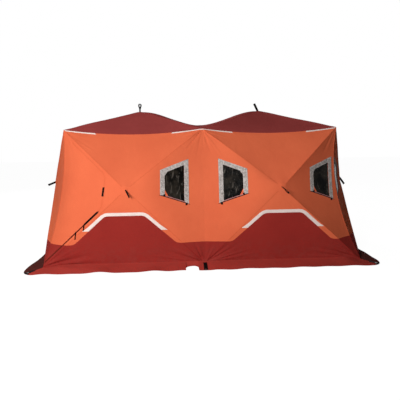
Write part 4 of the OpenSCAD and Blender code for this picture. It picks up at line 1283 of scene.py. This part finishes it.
# Fall, sideways turn, twist, width, half opening and droop of each pull
LONG_PULLS = {-1: (42, 36, 45, 0.016, 0.007, 0.0), 1: (18, 22, 60, 0.034, 0.008, 0.022)}
END_PULLS = {-1: (22, 0, 10, 0.03, 0.006, 0.0), 1: (50, 0, 10, 0.032, 0.006, 0.015)}
ROOF_PULLS = {-1: (0, 0, 34, 0.03, 0.022, 0.0), 1: (0, 25, 75, 0.036, 0.007, 0.0)}
ALONG, BACK, UPWARD = np.eye(3)
wall_pulls, roof_pulls, pulls = [], [], []
for sx in (-1, 1):
    for sy in (-1, 1):
        flip = np.array([-sx, -sy, 1.0])
        fall, turn, *rest = LONG_PULLS[sx]
        wall_pulls.append(pull(long_hub(0.0) * flip, ALONG * flip, UPWARD, -BACK * flip,
                               fall, -turn * sx, *rest))
        pulls.append(wall_pulls[-1])
    flip = np.array([-sx, 1.0, 1.0])
    wall_pulls.append(pull(end_hub(0.0) * flip, -BACK, UPWARD, -ALONG * flip, *END_PULLS[sx]))
    roof_pulls.append(pull(roof_hub(0.0) * flip, ALONG * flip, BACK, UPWARD, *ROOF_PULLS[sx]))
    pulls += [wall_pulls[-1], roof_pulls[-1]]
finish_piece(joined("pull_straps", [p[0] for p in pulls]), "webbing", "shelter", "webbing", "hub_pulls")
finish_piece(joined("wall_hub_patches", [p[1] for p in wall_pulls]), "wall_seam", "shelter", "wall_fabric")
finish_piece(joined("roof_hub_patches", [p[1] for p in roof_pulls]), "roof_seam", "shelter", "roof_fabric")

# Piping along the eaves, the valley and the upright edges
PIPE_R = 0.0032
pipes = {"roof": [], "wall": [], "base": []}
t = np.linspace(0.003, 0.997, 70)
for sx in (-1, 1):
    eave_1, eave_2, valley, eave_3 = (edge_pts(*edge[:3], t) for edge in roof_edges(0.0, 0.0))
    pipes["roof"] += [tube(line * [-sx, 1, 1], PIPE_R) for line in (eave_1, eave_2, eave_3)]
    if sx < 0:
        pipes["roof"].append(tube(valley, PIPE_R))
    for sy in (-1, 1):
        line = edge_pts(*long_edges(0.0, CORNER_PULL[sx])[3][:3], t) * [-sx, -sy, 1]
        pipes["wall"].append(tube(line[line[:, 2] >= BAND_Z], PIPE_R))
        pipes["base"].append(tube(line[line[:, 2] < BAND_Z], PIPE_R))
for kind, parts in pipes.items():
    finish_piece(joined(kind + "_piping", parts), kind + "_seam", "shelter", kind + "_fabric")

# Grommets in the stake tabs
RING = [(EYELET_R, 0.0), (EYELET_R + 0.001, 0.0012), (EYELET_R + 0.004, 0.0014), (EYELET_R + 0.006, 0.0006),
        (EYELET_R + 0.006, 0.0), (EYELET_R + 0.001, -0.0005)]
grommets = []
for at, _ in TABS:
    high = SKIRT_T + TAB_T + (foot_height(at[1]) if at[0] == 0 else 0.0)
    grommets.append(lathe(RING, np.array([*at, high]), (0, 0, 1.0)))
finish_piece(joined("grommets", grommets), "grommet", "shelter", "fitting")

# Materials of the frame's own pieces
for node, piece in nodes.items():
    mat = "pole" if node.endswith("_poles") else "fitting" if node.endswith(("_hubs", "_joints")) else None
    if mat:
        piece.data.materials.clear()
        piece.data.materials.append(MATS[mat])

# Camera at the photo's viewpoint
forward = np.array([math.sin(YAW) * math.cos(PITCH), math.cos(YAW) * math.cos(PITCH), math.sin(PITCH)])
level = np.array([math.cos(YAW), -math.sin(YAW), 0.0])
rise = np.cross(level, forward)
right = math.cos(ROLL) * level + math.sin(ROLL) * rise
up = -math.sin(ROLL) * level + math.cos(ROLL) * rise
lens = bpy.data.cameras.new("photo_camera")
lens.sensor_width = SENSOR
lens.lens = FOCAL / IMAGE * SENSOR
lens.shift_y = (AXIS_V - IMAGE / 2) / IMAGE
camera = bpy.data.objects.new("photo_camera", lens)
scene.collection.objects.link(camera)
camera.matrix_world = Matrix([[right[k], up[k], -forward[k], CAM_AT[k]] for k in range(3)] + [[0, 0, 0, 1]])
scene.camera = camera


# Pale floor, plain surroundings and soft lights
def seen_share(tree):
    """1 where the camera, a reflection or a clear film looks straight at this."""
    path = tree.nodes.new("ShaderNodeLightPath").outputs
    sharp = maths(tree, "MAXIMUM", path["Is Glossy Ray"], path["Is Transmission Ray"])
    return maths(tree, "MAXIMUM", path["Is Camera Ray"], sharp)


FLOOR_GREY, FLOOR_KEEP, FLOOR_GLOW, FLOOR_HALF, FLOOR_Z = 0.5, 0.8, 1.22, 30, -0.001
SKY = 0.05
ground = bpy.data.materials.new("pale_floor")
tree = fresh_tree(ground)
matt = add(tree, "BsdfDiffuse", {"Color": (FLOOR_GREY,) * 3 + (1.0,)})
glow = add(tree, "Emission", {"Color": WHITE, "Strength": FLOOR_GLOW})
both = add(tree, "MixShader", {0: maths(tree, "MULTIPLY", seen_share(tree), FLOOR_KEEP), 1: matt, 2: glow})
tree.links.new(both, tree.nodes.new("ShaderNodeOutputMaterial").inputs[0])
corners = [(x * FLOOR_HALF, y * FLOOR_HALF, FLOOR_Z) for x, y in ((-1, -1), (1, -1), (1, 1), (-1, 1))]
floor = new_object("floor", corners, [(0, 1, 2, 3)])
floor.data.materials.append(ground)

world = bpy.data.worlds.new("plain_white")
scene.world = world
tree = fresh_tree(world)
light = add(tree, "Background", {"Color": WHITE, "Strength": SKY})
white = add(tree, "Background", {"Color": WHITE, "Strength": 1.0})
sky = add(tree, "MixShader", {0: seen_share(tree), 1: light, 2: white})
tree.links.new(sky, tree.nodes.new("ShaderNodeOutputWorld").inputs[0])


def lamp(name, at, aim, size, power):
    """A soft square light."""
    data = bpy.data.lights.new(name, "AREA")
    data.shape, data.size, data.energy = "SQUARE", size, power
    obj = bpy.data.objects.new(name, data)
    scene.collection.objects.link(obj)
    obj.location = at
    obj.visible_glossy = False
    obj.rotation_euler = (Vector(aim) - Vector(at)).to_track_quat("-Z", "Y").to_euler()


lamp("key", (-2.8, -6.9, 2.5), (-0.5, -0.8, 0.9), 2.0, 430.0)
lamp("roof", (-2.8, -0.2, 4.8), (-1.2, -0.3, 2.0), 1.0, 37.0)
lamp("back", (-2.0, 8.0, 3.5), (0.0, 0.8, 0.9), 2.0, 330.0)
scene.view_settings.view_transform = "Standard"
